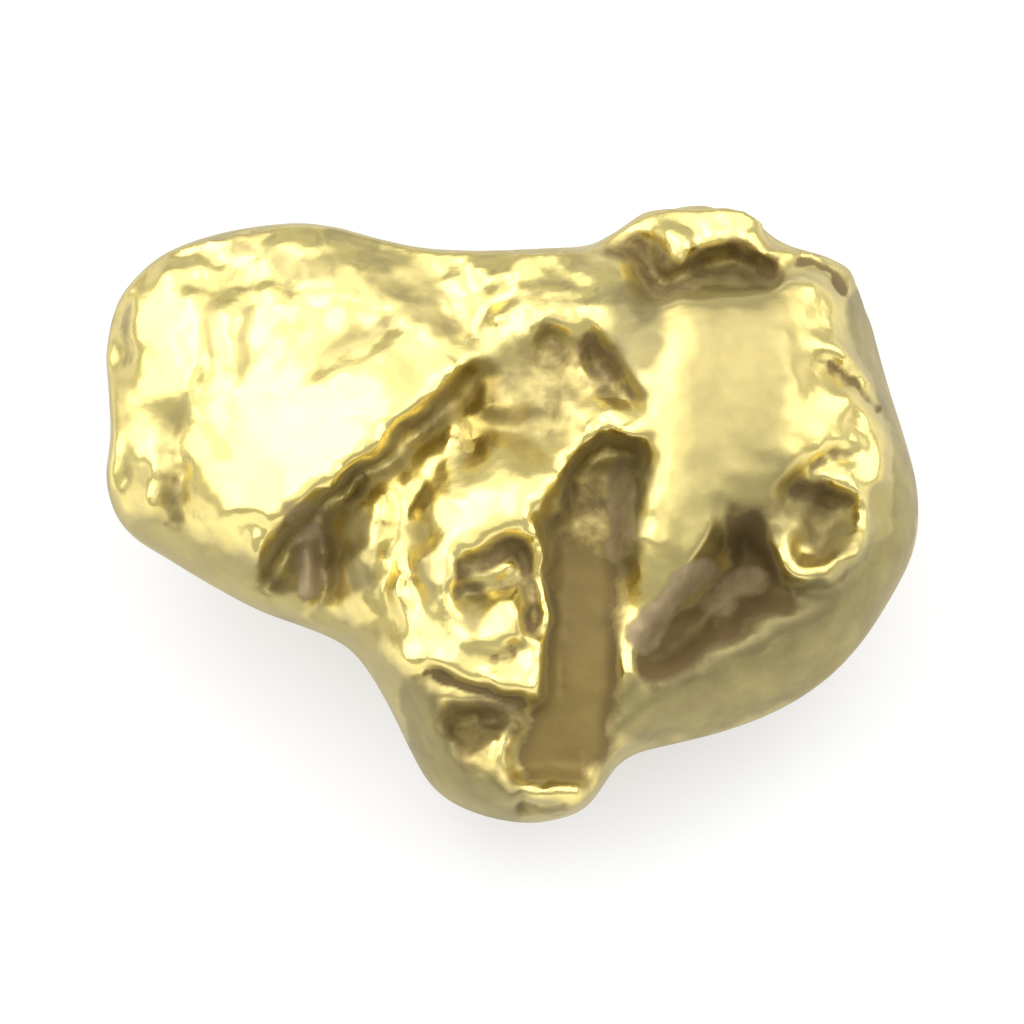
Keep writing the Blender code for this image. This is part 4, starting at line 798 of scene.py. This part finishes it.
sunk = soften(relief, 0.40) - relief
low_lying = ramp(sunk, -0.32, -0.04)
grooved = ramp(soften(relief, 0.14) - relief, 0, 0.06)
inside = ramp(line_distance(map_u, map_v, outline), 0, 0.25)
deep_earth_and_shade = np.maximum(strokes(STAINED_AND_SHADED) * low_lying, strokes(GROOVE_STAINS_AND_SHADE) * grooved) * inside
# painted shade: every deep hollow is also darkened by its depth alone
deep_earth_and_shade = np.maximum(deep_earth_and_shade, 0.55 * ramp(sunk, 0.10, 0.45))
rust = strokes(RUSTY) * inside
clay = strokes(CLAY) * inside
worn_and_shaded = strokes(WORN_AND_SHADED)
for title, field in (("earth_and_shade", deep_earth_and_shade), ("rust", rust), ("clay", clay), ("scuffs_and_shade", worn_and_shaded)):
    print(title, "cover", round(100 * float(field.mean()), 1), "% of the map")

# %% [markdown]
# A material can't read a numpy map, but it can read attributes, numbers that each point of a mesh keeps.
# Five of them carry the maps over: mottle, stain and shade, rust, clay, and scuffs and shade. Under the
# widest line the maps say nothing, so the dull scuff colour takes over there as painted shade, along a wavy
# border, and steep walls get it as painted shade too.

# %% Put the stains and the painted shade on the mesh
ball.normal_update()
places = np.array([vert.co[:] for vert in ball.verts])
steep = np.array([1 - vert.normal.dot(out) for vert in ball.verts])
u, v, w = places[:, 0], places @ np.array(across), places @ np.array(out)
above = w + RIM_FALL * v
visible = ramp(above + 0.8 * waves(u, v, 0.9, 5), 0, 0.7)
masks = {
    "mottle": sample(crumpled, u, v) * visible,
    # the stain also carries painted shade in the hollows and grooves
    "stain_and_shade": sample(deep_earth_and_shade, u, v) * visible,
    "rust": sample(rust, u, v) * visible,
    "clay": sample(clay, u, v) * visible,
    # painted shade: below the widest line and on steep walls the dull scuff colour darkens the gold
    "scuff_and_shade": np.max([0.85 - 0.85 * visible, sample(worn_and_shaded, u, v), 0.8 * ramp(steep, 0.30, 0.75)], axis=0),
}
for name, values in masks.items():
    layer = ball.verts.layers.float.new(name)
    for vert, value in zip(ball.verts, values):
        vert[layer] = value
print("attributes:", ", ".join(masks))

# %% [markdown]
# ## Down on the table
# The river has ground the lowest lumps off level, which is what lets the nugget lie still. A boolean with a
# box could cut them off. Bisecting with a plane is lighter, and filling the cut closes the lump again. Then
# the nugget is brought to its real size, in metres, over the middle of its plain solid.

# %% Grind the flat and fit the frame
FLAT_CUT = 0.40     # how much of the lowest lumps is ground off
SAME_PLACE = 0.002  # points closer than this are made one

lowest = min(vert.co.z for vert in ball.verts)
everything = ball.verts[:] + ball.edges[:] + ball.faces[:]
cut = bmesh.ops.bisect_plane(ball, geom=everything, plane_co=(0, 0, lowest + FLAT_CUT), plane_no=(0, 0, -1),
                             clear_outer=True)
rim = [part for part in cut["geom_cut"] if isinstance(part, bmesh.types.BMEdge)]
bmesh.ops.triangle_fill(ball, edges=rim, use_beauty=True)
bmesh.ops.remove_doubles(ball, verts=ball.verts[:], dist=SAME_PLACE)
bmesh.ops.recalc_face_normals(ball, faces=ball.faces[:])
box_low, box_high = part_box("nugget")
places = np.array([vert.co[:] for vert in ball.verts])
low, high = places.min(0), places.max(0)
size = (box_high.x - box_low.x) / (high[0] - low[0])
under_middle = Vector(((low[0] + high[0]) / 2, (low[1] + high[1]) / 2, low[2]))
home = Vector(((box_low.x + box_high.x) / 2, (box_low.y + box_high.y) / 2, box_low.z))
fit = Matrix.Translation(home) @ Matrix.Scale(size, 4) @ Matrix.Translation(-under_middle)
bmesh.ops.transform(ball, matrix=fit, verts=ball.verts)
nugget = as_object("fine_nugget", ball)
open_edges = sum(edge.is_boundary for edge in ball.edges)
ball.free()
nugget.data.shade_smooth()
print("open edges", open_edges, "triangles", sum(len(face.vertices) - 2 for face in nugget.data.polygons))
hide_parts("nugget")
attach(nugget, "root")

# %% [markdown]
# ## Shader sums in Python
# A gold that varies over its surface needs many small sums. They could be wired node by node in the Shader
# Editor, where nobody can follow sixty nodes. Wrapping a socket in a class lets them be written as plain
# expressions, and each expression adds its own Math nodes.

# %% A socket that can be reckoned with
class Wire:
    """The output of a node, to be used in sums."""

    def __init__(self, tree, socket):
        self.tree, self.socket = tree, socket

    def math(self, operation, *others, clamp=False):
        node = self.tree.nodes.new("ShaderNodeMath")
        node.operation = operation
        node.use_clamp = clamp
        for slot, value in zip(node.inputs, (self, *others)):
            plug(self.tree, slot, value)
        return Wire(self.tree, node.outputs[0])

    def __add__(self, other):
        return self.math("ADD", other)

    def __mul__(self, other):
        return self.math("MULTIPLY", other)

    def __sub__(self, other):
        return self.math("SUBTRACT", other)

    def __rsub__(self, other):
        return (self * -1.0) + other

    __radd__, __rmul__ = __add__, __mul__

    def between(self, low, high):
        """0 at low and 1 at high."""
        return ((self - low) * (1 / (high - low))).math("ADD", 0.0, clamp=True)


def plug(tree, slot, value):
    """Links a wire to the slot, or sets the slot to a plain value."""
    if isinstance(value, Wire):
        tree.links.new(value.socket, slot)
    else:
        slot.default_value = value


class Material:
    """A new material whose nodes are made one call at a time."""

    def __init__(self, name):
        self.data = bpy.data.materials.new(name)
        self.data.use_nodes = True
        self.tree = self.data.node_tree
        self.shader = self.tree.nodes["Principled BSDF"]

    def node(self, kind, settings=None, output=0, numbered=(), **sockets):
        """A node of that kind, its settings first, then its sockets by number or by name."""
        made = self.tree.nodes.new("ShaderNode" + kind)
        for name, value in (settings or {}).items():
            setattr(made, name, value)
        named = [(name.replace("_", " "), value) for name, value in sockets.items()]
        for slot, value in [*numbered, *named]:
            plug(self.tree, made.inputs[slot], value)
        return Wire(self.tree, made.outputs[output])

    def attribute(self, name):
        """One of the mesh's own numbers."""
        return self.node("Attribute", {"attribute_name": name}, output="Fac")

    def blend(self, share, first, second):
        """The first colour where share is 0, the second where it is 1."""
        # a Mix node's colour sockets share their names with its others, so they go by number
        return self.node("Mix", {"data_type": "RGBA"}, 2, ((0, share), (6, first), (7, second)))


print("sums and nodes are ready")

# %% [markdown]
# ## Gold
# Natural gold holds some silver, so it is paler than a ring. A single gold colour would look like plastic:
# what makes metal real is that its polish changes from place to place. It is clean and mirror-like on the
# face, mottled on the crumpled skin, and dull where gravel has scuffed it. The same dull colour is painted
# shade on the underside, the steep walls and the barrel. In the hollows brown earth covers it: there it is
# darker, rougher and only partly metallic, and the brown there is partly painted shade. Rust and then clay
# lie on top. The edge of every film is made ragged with noise, because a film that fades out evenly looks
# painted. Fine dents and grit go into a Bump node, because they are smaller than the mesh can carry.

# %% Colours of the gold, of what lies on it, and of the painted shade
CLEAN_GOLD = (0.95, 0.80, 0.30, 1.0)
DEEP_GOLD = (0.90, 0.73, 0.255, 1.0)
DUSTY_GOLD = (0.55, 0.46, 0.20, 1.0)
# dull scuffed gold, also used as painted shade on the underside, the steep walls and the barrel
DULL_GOLD_AND_SHADE = (0.30, 0.25, 0.118, 1.0)
RUSTY_GOLD = (0.33, 0.235, 0.055, 1.0)
# brown earth, also used as painted shade in the hollows and grooves
BROWN_EARTH_AND_SHADE = (0.16, 0.105, 0.042, 1.0)
PINK_CLAY = (0.47, 0.36, 0.21, 1.0)
print("clean gold reflects this much red, green and blue:", CLEAN_GOLD[:3])

# %% The nugget's metal
IN_A_METRE = 1000       # the patterns count millimetres, and Object coordinates count metres
DENT_DEPTH = 0.02 * MM  # of the fine dents and the grit

gold = Material("river_gold")
place = gold.node("TexCoord", output="Object")
scaled = gold.node("Mapping", {"vector_type": "POINT"}, Vector=place, Scale=(IN_A_METRE,) * 3)
broad = gold.node("TexNoise", Vector=scaled, Scale=1.3, Detail=3.0, Roughness=0.6)
grit = gold.node("TexNoise", Vector=scaled, Scale=9.0, Detail=5.0, Roughness=0.65)
peen = gold.node("TexVoronoi", {"feature": "SMOOTH_F1"}, Vector=scaled, Scale=5.5, Smoothness=0.4)
blotch = gold.node("TexNoise", Vector=scaled, Scale=2.6, Detail=2.0, Roughness=0.5, Distortion=0.6)
stain_and_shade, rusty, clayey = gold.attribute("stain_and_shade"), gold.attribute("rust"), gold.attribute("clay")
scuff_and_shade, mottle = gold.attribute("scuff_and_shade"), gold.attribute("mottle")

ragged = (blotch - 0.5) * 0.8 + (grit - 0.5) * 0.4
dust = mottle * blotch.between(0.48, 0.60)
# scuffs, and painted shade on the underside, the steep walls and the barrel
scuffs_and_shade = scuff_and_shade * (broad * 0.5 + 0.65)
# earth, and painted shade in the hollows and grooves
earth_and_shade = (stain_and_shade.math("MAXIMUM", clayey) + ragged * 0.7).between(0.22, 0.85)
rust_film = (rusty + (grit - 0.5) * 0.4).between(0.2, 0.9)
clay_film = (clayey + ragged).between(0.32, 0.9)

colour = gold.blend(broad.between(0.35, 0.75), CLEAN_GOLD, DEEP_GOLD)
colour = gold.blend(dust * 0.7, colour, DUSTY_GOLD)
# the dull gold paints shade as well as scuffs, and the brown paints shade as well as earth
colour = gold.blend(scuffs_and_shade, colour, DULL_GOLD_AND_SHADE)
colour = gold.blend(earth_and_shade * 0.92, colour, BROWN_EARTH_AND_SHADE)
colour = gold.blend(rust_film * 0.8, colour, RUSTY_GOLD)
colour = gold.blend(clay_film * 0.85, colour, PINK_CLAY)
plug(gold.tree, gold.shader.inputs["Base Color"], colour)
gold.shader.inputs["Specular IOR Level"].default_value = 0.25
plug(gold.tree, gold.shader.inputs["Metallic"], 1 - earth_and_shade * 0.65)
plug(gold.tree, gold.shader.inputs["Roughness"], 0.20 + grit * 0.08 + scuff_and_shade * 0.28 + earth_and_shade * 0.35)
skin = peen * 0.6 + grit * 0.4
bump = gold.node("Bump", Height=skin, Strength=0.3, Distance=DENT_DEPTH)
plug(gold.tree, gold.shader.inputs["Normal"], bump)
nugget.data.materials.append(gold.data)
print("the gold has", len(gold.tree.nodes), "nodes")

# %% [markdown]
# ## Table, lights and camera
# Metal shows what surrounds it, so the surroundings are the other half of the material. The table is a pale
# card. A card that was only lit would turn grey under lamps this soft, and brighter lamps would burn the
# gold out, so the card glows a little by itself.

# %% A pale table
TABLE_HALF = 0.25  # metres from its middle to its edge

table_top = bmesh.new()
bmesh.ops.create_grid(table_top, x_segments=1, y_segments=1, size=TABLE_HALF)
floor = as_object("table_top", table_top)
table_top.free()
pale = Material("pale_card")
pale.shader.inputs["Base Color"].default_value = (0.40, 0.40, 0.40, 1.0)
pale.shader.inputs["Emission Color"].default_value = (1.0, 1.0, 1.0, 1.0)
pale.shader.inputs["Emission Strength"].default_value = 0.60
pale.shader.inputs["Roughness"].default_value = 0.9
floor.data.materials.append(pale.data)
print("the table is", 2 * TABLE_HALF, "m wide")

# %% [markdown]
# An image of a room would give rich reflections, but its windows could only be moved together. Four soft
# boxes are easier to aim. Two wide ones stand to the left and right above the nugget and burn the facets
# that lean their way out to pale yellow. A dimmer one hangs beyond the nugget for its upper skin, and the
# dimmest by the camera for what faces the viewer. A white world fills the gaps between them.

# %% Soft boxes
LIGHTS = {
    # name: (direction in u, v, w; distance; width; height; brightness)
    "left_box": ((-0.65, 0.52, 0.55), 0.25, 0.28, 0.26, 1.6),
    "right_box": ((0.68, 0.50, 0.50), 0.25, 0.22, 0.26, 1.6),
    "far_box": ((0.0, 0.87, 0.50), 0.25, 0.36, 0.26, 0.98),
    "camera_box": ((0.0, 0.22, 1.0), 0.30, 0.28, 0.28, 0.62),
}
for name, (aim, distance, width, height, brightness) in LIGHTS.items():
    light = bpy.data.lights.new(name, "AREA")
    light.shape = "RECTANGLE"
    light.size, light.size_y = width, height
    light.energy = brightness * width * height * math.pi
    lamp = bpy.data.objects.new(name, light)
    bpy.context.scene.collection.objects.link(lamp)
    towards = (right * aim[0] + across * aim[1] + out * aim[2]).normalized()
    lamp.location = towards * distance
    lamp.rotation_euler = (-towards).to_track_quat("-Z", "Y").to_euler()
    print(name, "shines with", round(light.energy, 3), "W")

world = bpy.data.worlds.new("soft_room")
world.use_nodes = True
room = world.node_tree.nodes["Background"]
room.inputs["Color"].default_value = (1.0, 1.0, 1.0, 1.0)
room.inputs["Strength"].default_value = 0.56
bpy.context.scene.world = world
bpy.context.scene.view_settings.view_transform = "Standard"

# %% [markdown]
# The camera looks straight at the face. A short lens close by would make the near tip look too big, so a
# very long lens stands far off. The middle of the nugget, as the camera sees it, is the middle of the
# frame.

# %% The camera
LENS = 400.0
SENSOR = 36.0
FRAME_WIDTH = 15.36 * MM

seen = np.array([vert.co[:] for vert in nugget.data.vertices])
seen_u, seen_v = seen[:, 0], seen @ np.array(across)
target = right * (seen_u.min() + seen_u.max()) / 2 + across * (seen_v.min() + seen_v.max()) / 2
camera = bpy.data.objects.new("camera", bpy.data.cameras.new("camera"))
bpy.context.scene.collection.objects.link(camera)
camera.data.lens = LENS
camera.data.sensor_width = SENSOR
camera.data.clip_start = 0.01
camera.location = target + out * FRAME_WIDTH * LENS / SENSOR
camera.rotation_euler = (lean, 0, 0)
bpy.context.scene.camera = camera
share = float((seen_u.max() - seen_u.min()) / FRAME_WIDTH)
print("the nugget fills", round(share, 3), "of the frame's width")
